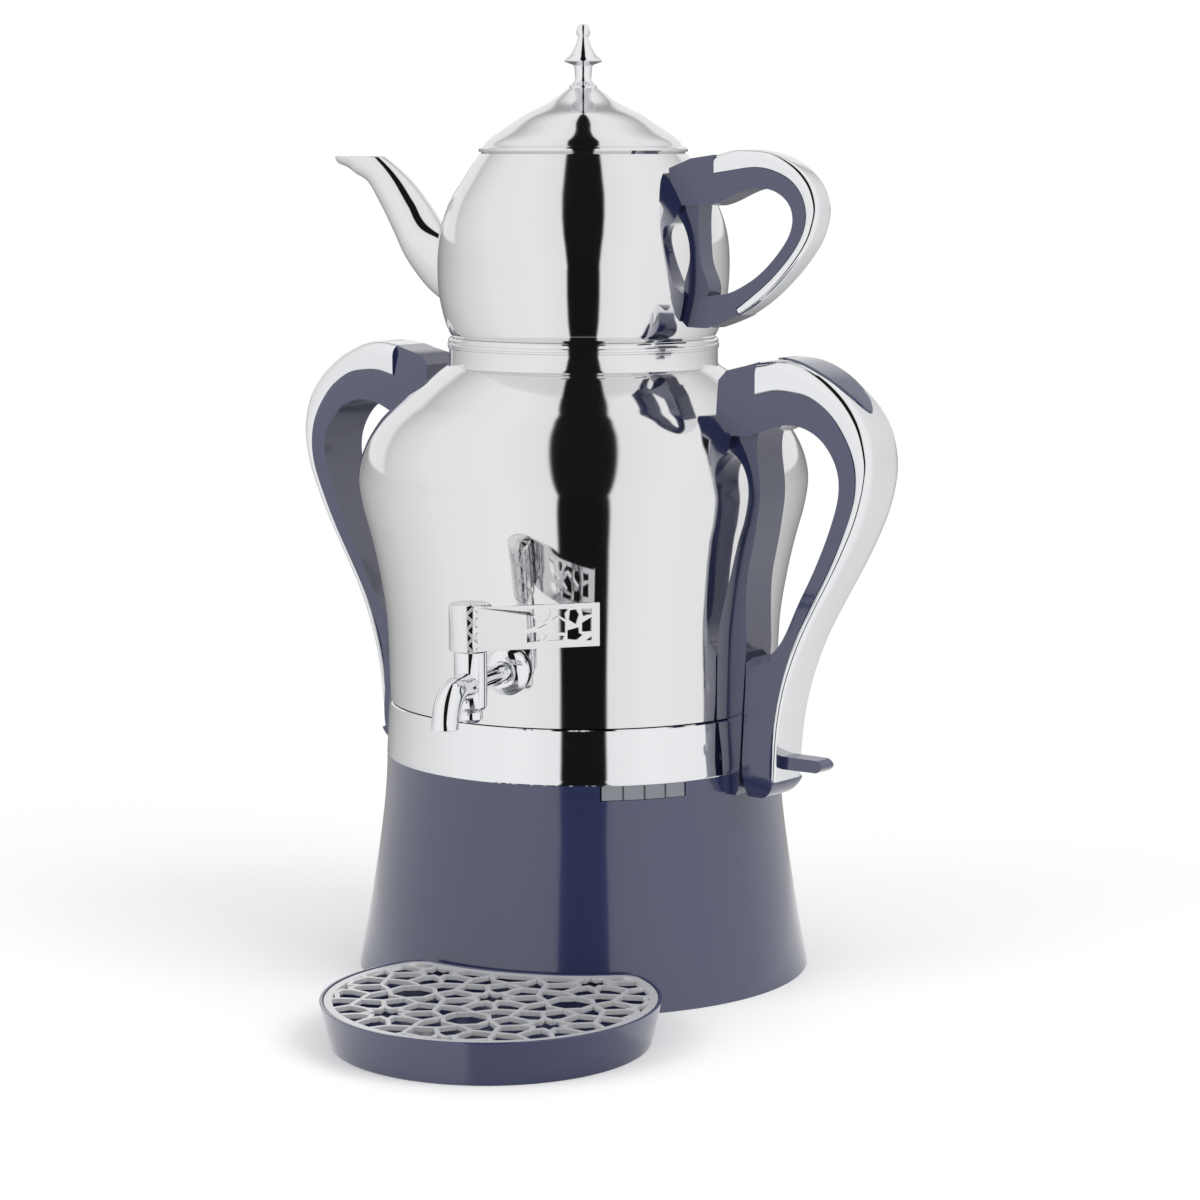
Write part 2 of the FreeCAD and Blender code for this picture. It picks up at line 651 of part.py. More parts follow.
def make_handles():
    """Both carrying handles with their studs and screws; the right one with thumb pad and switch."""
    stud_at = ("belly_r - collar_in - 8", "0", "shoulder_z - 15.6")
    for side, turn in (("Right", "0"), ("Left", "180")):
        core, cover = handle_solids(side)
        cuts = [cylinder(f"{side}StudBore", "stud_r + 0.05", "26.1", stud_at, (1, 0, 0)),
                cylinder(f"{side}ScrewBore", "screw_r", "screw_long + screw_r",
                         ("base_top_r - base_wall", "0", "handle_screw_z"), (1, 0, 0))]
        if side == "Right":
            cover = make_thumb_pad(cover)
            pocket = box("SwitchPocket",
                         (("switch_x - 6.5", "switch_room"),
                          ("-switch_wide / 2 - 0.6", "switch_wide + 1.2"),
                                          ("switch_z - 7", "slot_high + 6")))
            slot = [box(f"Slot{k}",
                        (("switch_x", "30"), ("-switch_wide / 2 - 0.6", "switch_wide + 1.2"),
                                     ("switch_z - switch_thick / 2 - 1",
                                      "slot_high"))) for k in range(2)]
            cuts += [pocket, slot[0],
                     cylinder("PinBore", "1.5", "switch_wide + 8",
                              ("switch_x", "-switch_wide / 2 - 4", "switch_z"), (0, 1, 0))]
            cover = combined("Cut", "RightCoverSlotted", cover, slot[1])
        core = combined("Cut", f"{side}Core", core, cuts)
        node(around(f"{side}CorePlaced", core, turn), f"{side.lower()}_handle_core")
        node(around(f"{side}CoverPlaced", cover, turn), f"{side.lower()}_handle_cover")
    studs = [combined("Cut", f"{side}Stud",
                      around(f"{side}StudTurned",
                             cylinder(f"{side}StudRod", "stud_r", "26", stud_at, (1, 0, 0)), turn),
                      walls)
             for side, turn in (("Right", "0"), ("Left", "180"))]
    node(together("HandleStuds", studs), "handle_studs")
    screws = []
    for side, turn in (("Right", "0"), ("Left", "180")):
        outline = [("base_top_r - base_wall - screw_head_high - 0.6", "0"),
                   ("base_top_r - base_wall - screw_head_high - 0.6", "screw_head_r"),
                   ("base_top_r - base_wall - 0.6", "screw_head_r"),
                   ("base_top_r - base_wall - 0.6", "screw_r"),
                   ("base_top_r - base_wall + screw_long - 1", "screw_r"),
                   ("base_top_r - base_wall + screw_long", "0")]
        screws.append(around(f"{side}Screw", turned(f"{side}ScrewBody", outline, axis="H_Axis"), turn,
                             "handle_screw_z"))
    node(together("HandleScrews", screws), "handle_screws")
    make_switch()


def make_thumb_pad(cover):
    """The oval thumb pad let into the top of the right handle's cover."""
    deeper = [(x, f"{z} - pad_thick") for x, z in handle_outer[:6]]
    inside = [(f"{x} - pad_thick * 0.5", f"{z} - pad_thick * 0.86") for x, z in handle_outer[4:6]]
    skin = [("collar_end", up(0.992)), handle_outer[:6], handle_outer[6],
            (f"{handle_outer[6][0]} - pad_thick", handle_outer[6][1]),
            inside[::-1] + deeper[:4][::-1], ("collar_end", f"{up(0.992)} - pad_thick")]
    solids = []
    for k in range(2):
        oval = doc.addObject("Part::Ellipse", f"PadOval{k}")
        bind(oval, "MajorRadius", "pad_long / 2")
        bind(oval, "MinorRadius", "pad_wide / 2")
        bind(oval, "Placement.Base.x", across(0.49))
        bind(oval, "Placement.Base.z", "handle_top - 40")
        prism = doc.addObject("Part::Extrusion", f"PadPrism{k}")
        prism.Base = oval
        prism.Dir = FreeCAD.Vector(0, 0, 1)
        prism.LengthFwd = 60
        prism.Solid = True
        band = padded(f"PadBand{k}", "XZ_Plane", [skin], "handle_wide + 2")
        solids.append(combined("Common", f"PadSolid{k}", band, prism))
    node(solids[0], "thumb_pad")
    return combined("Cut", "RightCoverRecessed", cover, solids[1])


def make_switch():
    """The switch: a paddle on a pin in the right handle, and the microswitch above it."""
    half = "switch_thick / 2"
    outline = [("switch_x - 4", f"switch_z - {half}"), ("handle_tip_x - 3", f"switch_z - {half} + 0.6"),
               [("handle_tip_x", "switch_z + 0.4")], ("handle_tip_x - 3", f"switch_z + {half}"),
               ("switch_x + 4", f"switch_z + {half}"), ("switch_x + 1", f"switch_z + {half} + 1"),
               ("switch_x - 4", f"switch_z + {half} + 1")]
    paddle = padded("PaddleBody", "XZ_Plane", [outline], "switch_wide")
    pin_at = ("switch_x", "-switch_wide / 2 - 4", "switch_z")
    long = "switch_wide + 8"
    bored = combined("Cut", "Paddle", paddle, cylinder("PaddleBore", "1.55", long, pin_at, (0, 1, 0)))
    node(bored, "switch_paddle")
    node(cylinder("SwitchPin", "1.5", long, pin_at, (0, 1, 0)), "switch_pin")
    micro = box("MicroBox", (("switch_x - 6", "11"), ("-switch_wide / 2", "switch_wide"),
                             (f"switch_z + {half} + 2", "slot_high - 10")))
    node(micro, "microswitch")


def outlet(name, radius, longer):
    """The tap's outlet: a level run from the valve's axis, a quarter bend and a short drop."""
    run = cylinder(f"{name}Run", radius, "outlet_run", ("valve_out", "0", "0"), (1, 0, 0))
    bend = doc.addObject("Part::Torus", f"{name}Bend")
    bind(bend, "Radius1", "outlet_bend")
    bind(bend, "Radius2", radius)
    bend.Angle3 = 90
    bend.Placement.Rotation = FreeCAD.Rotation(FreeCAD.Vector(1, 0, 0), 90)
    bind(bend, "Placement.Base.x", "valve_out + outlet_run")
    bind(bend, "Placement.Base.z", "-outlet_bend")
    drop = cylinder(f"{name}Drop", radius, f"outlet_drop + {longer}",
                    ("valve_out + outlet_run + outlet_bend", "0", "-outlet_bend"), (0, 0, -1))
    return combined("Fuse", name, run, [bend, drop])


def make_tap():
    """The plug tap: body with inlet and outlet, rosette, washers and nut, and the turning plug with its lever."""
    pipe = cylinder("TapPipe", "pipe_r", "valve_out - kettle_r + 14", ("kettle_r - 14", "0", "0"),
                    (1, 0, 0))
    chamber = turned("Chamber", [("0", "-11"), ("valve_r - 1", "-11"), ("valve_r", "-9.5"),
                                 ("valve_r", "cap_z - 0.3"), ("0", "cap_z - 0.3")])
    bind(chamber, "Placement.Base.x", "valve_out")
    solid = combined("Fuse", "TapSolid", pipe, [chamber, outlet("Outlet", "outlet_r", "0")])
    bores = [cylinder("InletBore", "port_r", "valve_out - kettle_r + 15", ("kettle_r - 15", "0", "0"),
                      (1, 0, 0)),
             outlet("OutletBore", "outlet_r - 2.2", "1"),
             cylinder("PlugBore", "plug_r + 0.05", "40", ("valve_out", "0", "-20"))]
    tap = combined("Cut", "TapBody", solid, bores)
    node(around("TapPlaced", tap, "tap_turn", "tap_z"), "tap_body")

    rosette = turned("RosetteBody",
                     [("kettle_r + 1.9", "pipe_r + 0.05"), ("kettle_r + 1.9", "rosette_r"),
                      ("kettle_r + 3.4", "rosette_r"),
                                     [("kettle_r + 6.4", "rosette_r - 2")],
                      ("kettle_r + 8.2", "pipe_r + 1.6"), ("kettle_r + 8.2", "pipe_r + 0.05")],
                     axis="H_Axis")
    node(around("Rosette", rosette, "tap_turn", "tap_z"), "tap_rosette")
    washer = turned("WasherBody",
                    block("kettle_r - 3", "kettle_r + 1.9", "pipe_r + 0.05", "rosette_r - 0.8"),
                    axis="H_Axis")
    node(combined("Cut", "TapWasher", around("WasherPlaced", washer, "tap_turn", "tap_z"), walls),
         "tap_washer")
    nut = turned("TapNutBody", block("kettle_r - 7", "kettle_r - 1.2", "pipe_r + 0.05", "pipe_r + 3"),
                 axis="H_Axis")
    node(around("TapNut", nut, "tap_turn", "tap_z"), "tap_nut")

    plug = cylinder("PlugRod", "plug_r", "26", ("valve_out", "0", "-10.9"))
    stem = cylinder("PlugStem", "2.5", "44", ("valve_out", "0", "-16"))
    port = cylinder("PlugPort", "port_r", "20", ("valve_out", "-10", "0"), (0, 1, 0))
    plug = combined("Cut", "Plug", combined("Fuse", "PlugSolid", plug, [stem]), port)
    node(around("PlugPlaced", plug, "tap_turn", "tap_z"), "tap_plug")
    nut = turned("EndNutBody", [("2.5", "-16.8"), ("4", "-16.8"), ("5.4", "-15.2"), ("5.4", "-12.2"),
                                ("4.6", "-11.2"), ("2.5", "-11.2")])
    bind(nut, "Placement.Base.x", "valve_out")
    node(around("EndNut", nut, "tap_turn", "tap_z"), "tap_end_nut")
    cap_top = "cap_z + cap_high"
    cap = turned("CapBody", [("0", "28"), ("2.5", "28"), ("2.5", "15.1"), ("plug_r + 0.1", "15.1"),
                             ("plug_r + 0.1", "cap_z"), ("cap_r - 0.6", "cap_z"),
                             ("cap_r", "cap_z + 0.6"), ("cap_r", f"{cap_top} - 1"),
                             ("cap_r - 1", cap_top), ("0", cap_top)])
    bind(cap, "Placement.Base.x", "valve_out")
    node(around("Cap", cap, "tap_turn", "tap_z"), "tap_cap")
    make_lever(cap_top)


# The lever's openings, each point by its share of the way from the cap to the tip and of the height.
LEVER_CELLS = (
    ((0.285, 0.82), (0.322, 0.85), (0.378, 0.66), (0.378, 0.52), (0.291, 0.45)),
    ((0.295, 0.92), (0.365, 0.91), (0.365, 0.75)),
    ((0.386, 0.91), (0.518, 0.9), (0.526, 0.82), (0.498, 0.66), (0.452, 0.6)),
    ((0.399, 0.65), (0.489, 0.55), (0.399, 0.46)),
    ((0.291, 0.37), (0.384, 0.38), (0.421, 0.18), (0.291, 0.15)),
    ((0.411, 0.36), (0.489, 0.31), (0.454, 0.18)),
    ((0.542, 0.89), (0.703, 0.88), (0.666, 0.77), (0.675, 0.63), (0.607, 0.73), (0.53, 0.64), (0.57, 0.81)),
    ((0.607, 0.69), (0.671, 0.57), (0.671, 0.33), (0.582, 0.36), (0.514, 0.47)),
    ((0.708, 0.85), (0.774, 0.87), (0.805, 0.73), (0.774, 0.51), (0.698, 0.63)),
    ((0.821, 0.87), (0.923, 0.87), (0.923, 0.74), (0.836, 0.7)),
    ((0.826, 0.55), (0.923, 0.68), (0.923, 0.35), (0.826, 0.34)),
    ((0.489, 0.29), (0.663, 0.27), (0.644, 0.17), (0.495, 0.17)),
    ((0.684, 0.39), (0.802, 0.46), (0.802, 0.31), (0.833, 0.28), (0.778, 0.16), (0.684, 0.19)),
    ((0.863, 0.14), (0.923, 0.24), (0.923, 0.14)),
)


def make_lever(cap_top):
    """The pierced lever: a framed plate of strapwork that leaves the cap's side."""
    low = f"{cap_top} - 0.8 - lever_high"
    frame = [("0", low), ("lever_long", low), ("lever_long", f"{low} + lever_high"), ("0", f"{low} + lever_high")]
    plate = padded("LeverPlate", "XZ_Plane", [frame], "lever_thick")
    outlines = [[(f"cap_r + {along} * (lever_long - cap_r)", f"{low} + {rise} * lever_high") for along, rise in cell]
                for cell in LEVER_CELLS]
    openings = padded("LeverOpenings", "XZ_Plane", outlines, "lever_thick + 2")
    lever = around("LeverSide", combined("Cut", "LeverPierced", plate, openings), "0")
    bind(lever, "Placement.Base.y", "lever_thick / 2 - cap_r")
    swung = around("LeverSwung", lever, "lever_turn")
    bind(swung, "Placement.Base.x", "valve_out")
    doc.recompute()
    room = cylinder("CapRoom", "cap_r + 0.02", "60", ("valve_out", "0", "0"))
    seated = combined("Cut", "LeverSeated", swung, room)
    node(around("LeverPlaced", seated, "tap_turn", "tap_z"), "tap_lever")


def make_ring():
    """The steam ring that closes the kettle's neck and carries the teapot."""
    skirt = "neck_r - kettle_wall - 0.2 - fit"
    low = "neck_z - ring_drop"
    outline = [("16", low), (skirt, low), (skirt, "neck_z"), ("neck_r + 0.6", "neck_z"),
               ("neck_r + 0.6", "neck_z + ring_flange"),
               (f"{skirt} - ring_sheet", "neck_z + ring_flange"),
               (f"{skirt} - ring_sheet", f"{low} + ring_sheet"), ("16", f"{low} + ring_sheet")]
    vents = [around(f"Vent{k}", cylinder(f"VentRod{k}", "5", "ring_sheet + 2",
                                         ("neck_r * 0.6", "0", f"{low} - 1")), f"{45 * k}")
             for k in range(8)]
    node(combined("Cut", "SteamRing", turned("RingBody", outline), vents), "steam_ring")


def pot_across(share):
    """A distance from the axis, as a share of the way from the teapot's belly to its handle's outermost point."""
    return f"pot_r + ({share}) * (pot_reach - pot_r)"


def pot_up(share):
    """A height, as a share of the way from the teapot handle's foot to its top."""
    return f"pot_handle_foot + {share} * (pot_handle_top - pot_handle_foot)"


def pot_loop(points):
    """A teapot handle's curve from (share outwards, share upwards) pairs."""
    return [(pot_across(out), pot_up(rise)) for out, rise in points]


pot_outer = pot_loop(((0.314, 1.0), (0.445, 1.0), (0.591, 0.988), (0.737, 0.948), (0.863, 0.885),
                      (0.953, 0.802),
                      (0.997, 0.704), (0.993, 0.617), (0.942, 0.5), (0.825, 0.37), (0.679, 0.247),
                      (0.533, 0.148)))
pot_split = pot_loop(((0.3285, 0.889), (0.4745, 0.904), (0.591, 0.899), (0.708, 0.87), (0.803, 0.827),
                      (0.876, 0.759),
                      (0.912, 0.679), (0.912, 0.593), (0.869, 0.5), (0.781, 0.401), (0.65, 0.29),
                      (0.518, 0.204),
                      (0.42, 0.148)))
pot_gap = pot_loop(((0.299, 0.201), (0.416, 0.241), (0.518, 0.29), (0.635, 0.37), (0.73, 0.457),
                    (0.7956, 0.543),
                    (0.8146, 0.617), (0.7956, 0.685), (0.737, 0.741), (0.65, 0.778), (0.552, 0.79),
                    (0.431, 0.778),
                    (0.314, 0.741)))


def make_pot():
    """The teapot: bowl, heavy base, spout, and a handle with its studs."""
    mouth = ("mouth_r - pot_wall", "mouth_z")
    outline = [("0", "pot_z"), ("pot_base_r", "pot_z"), plain(pot_bends), ("mouth_r", "mouth_z"), mouth,
               moved_in(pot_bends, "pot_wall")[::-1],
               ("pot_base_r - pot_wall - 0.8", "pot_z + pot_wall"), ("0", "pot_z + pot_wall")]
    pours = [cylinder(f"Strainer{k}", "2", "60", ("-pot_r - 20", f"{y}", f"pot_z + {z}"), (1, 0, 0))
             for k, (y, z) in enumerate(((0, 26), (6, 26), (-6, 26), (3, 31.5), (-3, 31.5), (3, 20.5),
                                         (-3, 20.5)))]
    node(combined("Cut", "TeapotShell", turned("PotSkin", outline), pours), "teapot_shell")
    low = "neck_z + ring_flange"
    spigot = "neck_r - kettle_wall - 0.2 - 2 * fit - ring_sheet"
    base = [("0", f"{low} - 3"), (f"{spigot} - 1", f"{low} - 3"), (spigot, f"{low} - 2"),
            (spigot, low), ("neck_r", low),
            ("neck_r + 0.2", f"{low} + 0.6"), ("neck_r", "pot_z - 0.4"), ("pot_base_r", "pot_z"),
            ("0", "pot_z")]
    node(turned("TeapotBase", base), "teapot_base")
    node(make_spout(), "teapot_spout")

    start = ("pot_collar_end", pot_up(0.975))
    under = ("pot_collar_end", pot_up(0.87))
    tip = (pot_across(0.36), pot_up(0.115))
    end = (pot_across(0.387), pot_up(0.08))
    cover = padded("PotCover", "XZ_Plane", [[start, pot_outer, end, tip, pot_split[::-1], under]],
                   "pot_handle_wide")
    collar = [("mouth_r + 8", pot_up(0.69)), ("mouth_r + 8", pot_up(0.9)),
              ("pot_r - 1", pot_up(0.955)), start, under]
    heel = [pot_split, tip, end, [(pot_across(0.241), pot_up(0.031))],
            (pot_across(0.124), "pot_handle_foot"),
            ("pot_r + 1", "pot_handle_foot"), ("pot_r + 4", pot_up(0.17)),
            (pot_across(0.204), pot_up(0.191))]
    arm = padded("PotArm", "XZ_Plane",
                 [collar + heel + [pot_gap, ("pot_collar_end - 3", pot_up(0.69))]], "pot_handle_wide")
    face = [(f"{radius} + {share} * pot_strip_thick", height)
            for (radius, height, _),
            share in zip([pot_low_bends[2], pot_belly] + pot_high_bends[:2], (2.8, 1.3, 1, 2))]
    ridge = [("pot_base_r - 6", "pot_handle_foot"), ("mouth_r + 6", pot_up(0.72)),
             ("pot_r + 3", pot_up(0.72)), face[::-1],
             ("pot_r + 7", pot_up(0.17)), ("pot_r + 8", "pot_handle_foot")]
    spine = padded("PotSpine", "XZ_Plane", [ridge], "pot_strip_wide")
    core = combined("Cut", "PotCoreSeated", combined("Fuse", "PotCoreRaw", arm, [spine]), bowl)
    studs = []
    bores = []
    for k, (x, z) in enumerate((("mouth_r", "mouth_z - 15"),
                                ("pot_base_r - 5", "pot_handle_foot + 7"))):
        studs.append(combined("Cut", f"PotStud{k}",
                              cylinder(f"PotStudRod{k}", "2", "22", (x, "0", z), (1, 0, 0)), bowl))
        bores.append(cylinder(f"PotStudBore{k}", "2.05", "22.1", (x, "0", z), (1, 0, 0)))
    node(combined("Cut", "PotCore", core, bores), "teapot_handle_core")
    node(cover, "teapot_handle_cover")
    node(together("PotStuds", studs), "teapot_handle_studs")


# The spout's stations: share of its reach, drop below the lip, radius, and the angle it climbs at.
SPOUT = ((-0.113, 61.5, 17.0, 25), (0.125, 55.5, 15.5, 35), (0.337, 43.7, 12.5, 46),
         (0.461, 30.1, 11.2, 51), (0.577, 18.2, 9.8, 50),
         (0.723, 7.2, 7.6, 35), (0.851, 2.0, 7.2, 22), (0.923, -0.5, 6.6, 18), (1.0, -2.5, 6.5, 15))


def make_spout():
    """The hollow swan-neck spout along -X, cut level at its lip."""
    tubes = []
    for name, wall in (("Outside", "0"), ("Inside", "spout_wall")):
        rings = []
        for k, (share, drop, radius, climb) in enumerate(SPOUT):
            ring = doc.addObject("Part::Circle", f"Spout{name}{k}")
            bind(ring, "Radius", f"{radius} - {wall}")
            ring.Placement.Rotation = FreeCAD.Rotation(FreeCAD.Vector(0, 1, 0), climb - 90)
            bind(ring, "Placement.Base.x", f"-pot_r - ({share}) * (spout_reach - pot_r)")
            bind(ring, "Placement.Base.z", f"spout_z - ({drop})")
            rings.append(ring)
        loft = doc.addObject("Part::Loft", f"Spout{name}")
        loft.Sections = rings
        loft.Solid = True
        doc.recompute()
        tubes.append(loft)
    above = box("AboveLip", (("-spout_reach - 30", "spout_reach"), ("-30", "60"), ("spout_z", "40")))
    return combined("Cut", "Spout", tubes[0], [tubes[1], bowl, above])


def make_lid():
    """The lid with its turned knob and the nut that holds the knob."""
    out = "mouth_r - pot_wall - fit"
    curve = [(f"{share} * lid_rim_r", f"mouth_z + {rise} * lid_high", tilt)
             for rise, share, tilt in ((0.215, 0.897, 45), (0.372, 0.743, 57), (0.57, 0.564, 59),
                                       (0.765, 0.333, 60), (0.966, 0.168, 50))]
    outline = [("lid_rim_r", "mouth_z"), ("lid_rim_r", "mouth_z + 1.2"),
               ("lid_rim_r - 1", "mouth_z + 2"), ("lid_rim_r - 2.6", "mouth_z + 2.4"),
               plain(curve), ("lid_top_r", "apex_z"), ("2.2", "apex_z"), ("2.2", "apex_z - lid_sheet"),
               ("lid_top_r - 0.6", "apex_z - lid_sheet"),
               moved_in(curve, "lid_sheet")[::-1], (f"{out} - lid_sheet", "mouth_z + 2"),
               (f"{out} - lid_sheet", "mouth_z - 5"),
               (out, "mouth_z - 5"), (out, "mouth_z")]
    node(turned("Lid", outline), "teapot_lid")

    def at(radius, rise):
        return (f"{radius} * knob_r", f"apex_z + {rise} * knob_high")

    knob = [("0", "apex_z - 6"), ("2", "apex_z - 6"), ("2", "apex_z"), at(0.74, 0), at(0.74, 0.035),
            [at(0.5, 0.1), at(0.443, 0.16), at(0.46, 0.27)],
            at(0.51, 0.35), at(1, 0.41), at(1, 0.435), [at(0.66, 0.54), at(0.42, 0.67)],
            at(0.28, 0.795),
            [at(0.345, 0.84), at(0.364, 0.9), at(0.27, 0.966)], ("0", "apex_z + knob_high")]
    node(turned("Knob", knob), "lid_knob")
    node(turned("KnobNut", block("2.05", "4.6", "apex_z - lid_sheet - 3.2", "apex_z - lid_sheet")),
         "lid_nut")


def tray_outline(inset, level):
    """The tray's outline at a level, moved in by inset: a round with a bite out of it, corners rounded."""
    out = number("tray_out")
    outer = number(f"tray_r - tray_taper * (1 - ({level}) / tray_high) - ({inset})")
    bite = number(f"base_r + tray_gap + {inset}")
    corner = number(f"tray_corner - ({inset})")
    # The corner's centre lies inside the round and outside the bite, each by the corner's radius.
    centre_x = (out ** 2 + (bite + corner) ** 2 - (outer - corner) ** 2) / (2 * out)
    centre_y = math.sqrt((bite + corner) ** 2 - centre_x ** 2)
    height = number(level)

    def point(x, y):
        return FreeCAD.Vector(x, y, height)

    def towards(x, y, away):
        """The corner's centre moved by its radius away from (or towards) the point x, y."""
        span = math.hypot(centre_x - x, centre_y - y)
        return (x + (centre_x - x) * (span + away) / span, y + (centre_y - y) * (span + away) / span)

    on_round = towards(out, 0, corner)
    on_bite = towards(0, 0, -corner)
    middle = ((on_round[0] + on_bite[0]) / 2 - centre_x, (on_round[1] + on_bite[1]) / 2 - centre_y)
    length = math.hypot(*middle)
    tip = (centre_x + middle[0] * corner / length, centre_y + middle[1] * corner / length)
    arcs = [
        Part.Arc(point(on_round[0], -on_round[1]), point(out + outer, 0), point(*on_round)),
        Part.Arc(point(*on_round), point(*tip), point(*on_bite)),
        Part.Arc(point(*on_bite), point(bite, 0), point(on_bite[0], -on_bite[1])),
        Part.Arc(point(on_bite[0], -on_bite[1]), point(tip[0], -tip[1]),
                 point(on_round[0], -on_round[1])),
    ]
    return Part.Wire([arc.toShape() for arc in arcs])


def tray_block(name, inset, low, high):
    """A tapered block between two of the tray's outlines."""
    block_solid = doc.addObject("Part::Feature", name)
    block_solid.Shape = Part.makeLoft([tray_outline(inset, low), tray_outline(inset, high)], True, True)
    return block_solid


def polygon(points, low, high):
    """A straight-sided prism over a closed run of (x, y) points."""
    corners = [FreeCAD.Vector(x, y, low) for x, y in points]
    return Part.Face(Part.makePolygon(corners + corners[:1])).extrude(FreeCAD.Vector(0, 0, high - low))


def narrowed(points, strap):
    """A counter-clockwise outline moved in by half a strap's width."""
    moved = []
    for k, (x, y) in enumerate(points):
        sides = []
        for (ax, ay), (bx, by) in ((points[k - 1], (x, y)), ((x, y), points[(k + 1) % len(points)])):
            span = math.hypot(bx - ax, by - ay)
            sides.append(((ay - by) / span, (bx - ax) / span))
        (ux, uy), (vx, vy) = sides
        share = strap / 2 / (1 + ux * vx + uy * vy)
        moved.append((x + (ux + vx) * share, y + (uy + vy) * share))
    return moved


def star_cells(pitch, star, strap, reach):
    """The strapwork's openings: stars in rings of hexagons, with octagons and small stars between."""

    def at(radius, turn):
        return (radius * math.cos(math.radians(turn)), radius * math.sin(math.radians(turn)))

    notch = 0.62 * star
    ring = 1.88 * star
    half = pitch / 2
    eighth = 0.42 * half
    tile = [[at(notch if k % 2 == 0 else star, 22.5 * k) for k in range(16)]]
    for k in range(8):
        turn = 45 * k
        tile.append([at(notch, turn), at(star, turn - 22.5), at(ring, turn - 22.5), at(half, turn),
                     at(ring, turn + 22.5), at(star, turn + 22.5)])
    tile.append([(half + x, half + y) for x, y in (at(eighth, 45 * k) for k in range(8))])
    corner = at(half, 45)
    flank = at(ring, 22.5)
    small = [(half, 0), (pitch - flank[0], flank[1]), (pitch - corner[0], corner[1]), (half, half - eighth),
             corner, flank]
    # The small star beside the middle of each edge of the tile, both sides of it.
    tile += [small, [(x, -y) for x, y in small][::-1], [(y, x) for x, y in small][::-1], [(-y, x) for x, y in small]]
    count = int(reach / pitch) + 1
    cells = []
    for i in range(-count, count + 1):
        for j in range(-count, count + 1):
            for outline in tile:
                points = [(x + i * pitch, y + j * pitch) for x, y in narrowed(outline, strap)]
                cells.append([((x - y) * math.sqrt(0.5), (x + y) * math.sqrt(0.5)) for x, y in points])
    return cells


def make_tray():
    """The drip tray that stands against the base, and the pierced grille that lies in it."""
    seat = "tray_high - grille_thick - 0.4"
    outer = tray_block("TrayOutside", "0", "0", "tray_high")
    well = tray_block("TrayWell", "tray_wall", "tray_floor", "tray_high + 1")
    recess = tray_block("TrayRecess", "grille_inset", seat, "tray_high + 1")
    node(around("TrayPlaced", combined("Cut", "Tray", outer, [well, recess]), "tray_turn"), "drip_tray")

    plate = tray_block("GrillePlate", "grille_inset + fit", seat, "tray_high - 0.4")
    field = tray_block("GrilleField", "grille_inset + fit + grille_rim", f"{seat} - 1", "tray_high + 1")
    centre = number("tray_out")
    low = number(f"{seat} - 0.5")
    high = number("tray_high")
    cells = []
    for points in star_cells(number("star_pitch"), number("star_r"), number("strap"), number("tray_r")):
        if max(math.hypot(x, y) for x, y in points) < number("tray_r + 12"):
            cells.append(polygon([(x + centre, y) for x, y in points], low, high))
    cutter = doc.addObject("Part::Feature", "StrapworkCells")
    cutter.Shape = Part.makeCompound(cells)
    openings = combined("Common", "GrilleOpenings", cutter, field)
    node(around("GrillePlaced", combined("Cut", "Grille", plate, openings), "tray_turn"), "tray_grille")


make_base()
make_band()
make_kettle()
make_window()
make_handles()
make_tap()
make_ring()
make_pot()
make_lid()
make_tray()

broken = [thing.Name for thing in doc.Objects if "Invalid" in thing.State or "Error" in thing.State]
if broken:
    raise SystemExit(f"not built: {broken}")
os.makedirs("parts", exist_ok=True)
for thing in nodes:
    shape = thing.Shape
    if shape.isNull() or not shape.isValid() or not shape.Solids:
        raise SystemExit(f"{thing.Label} is not a valid solid")
    shape.exportStep(f"parts/{thing.Label}.step")
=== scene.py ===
import bmesh
import bpy
from math import cos, pi, radians, sin
from mathutils import Matrix, Vector


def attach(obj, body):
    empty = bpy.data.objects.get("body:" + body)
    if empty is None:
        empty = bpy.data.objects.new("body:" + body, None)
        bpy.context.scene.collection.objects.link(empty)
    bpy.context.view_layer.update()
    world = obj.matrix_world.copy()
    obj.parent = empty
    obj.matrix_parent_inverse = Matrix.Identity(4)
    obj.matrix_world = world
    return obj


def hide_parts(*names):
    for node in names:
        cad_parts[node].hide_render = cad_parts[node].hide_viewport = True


# A two-tier samovar: steel kettle on a navy base, teapot on top, tap and drip tray in front.
# Figures in the pieces' dictionaries are millimetres, as on the drawing; meshes are metres.

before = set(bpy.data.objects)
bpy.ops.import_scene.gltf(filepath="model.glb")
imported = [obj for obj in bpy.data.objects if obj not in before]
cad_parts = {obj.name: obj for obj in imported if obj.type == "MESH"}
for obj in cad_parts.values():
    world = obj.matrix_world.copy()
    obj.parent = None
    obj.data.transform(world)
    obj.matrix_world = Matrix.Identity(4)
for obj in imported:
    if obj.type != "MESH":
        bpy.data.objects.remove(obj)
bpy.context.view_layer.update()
mm = 0.001


# ---- the camera ----
view = {"turn": 38.2, "pitch": 7.84, "place": (0.9425, -1.1849, 0.385), "lens": 95.1,
        "sensor": 36, "farthest": 60}

cameraData = bpy.data.cameras.new("photoCamera")
cameraData.lens = view["lens"]
cameraData.sensor_width = view["sensor"]
cameraData.clip_end = view["farthest"]
camera = bpy.data.objects.new("photoCamera", cameraData)
camera.location = view["place"]
camera.rotation_euler = (radians(90 - view["pitch"]), 0, radians(view["turn"]))
bpy.context.scene.collection.objects.link(camera)
bpy.context.scene.camera = camera


# ---- small helpers for nodes ----
def newMaterial(name, color, metal=0.0, rough=0.3):
    material = bpy.data.materials.new(name)
    material.use_nodes = True
    shader = material.node_tree.nodes["Principled BSDF"]
    shader.inputs["Base Color"].default_value = (*color, 1)
    shader.inputs["Metallic"].default_value = metal
    shader.inputs["Roughness"].default_value = rough
    return material, shader, material.node_tree


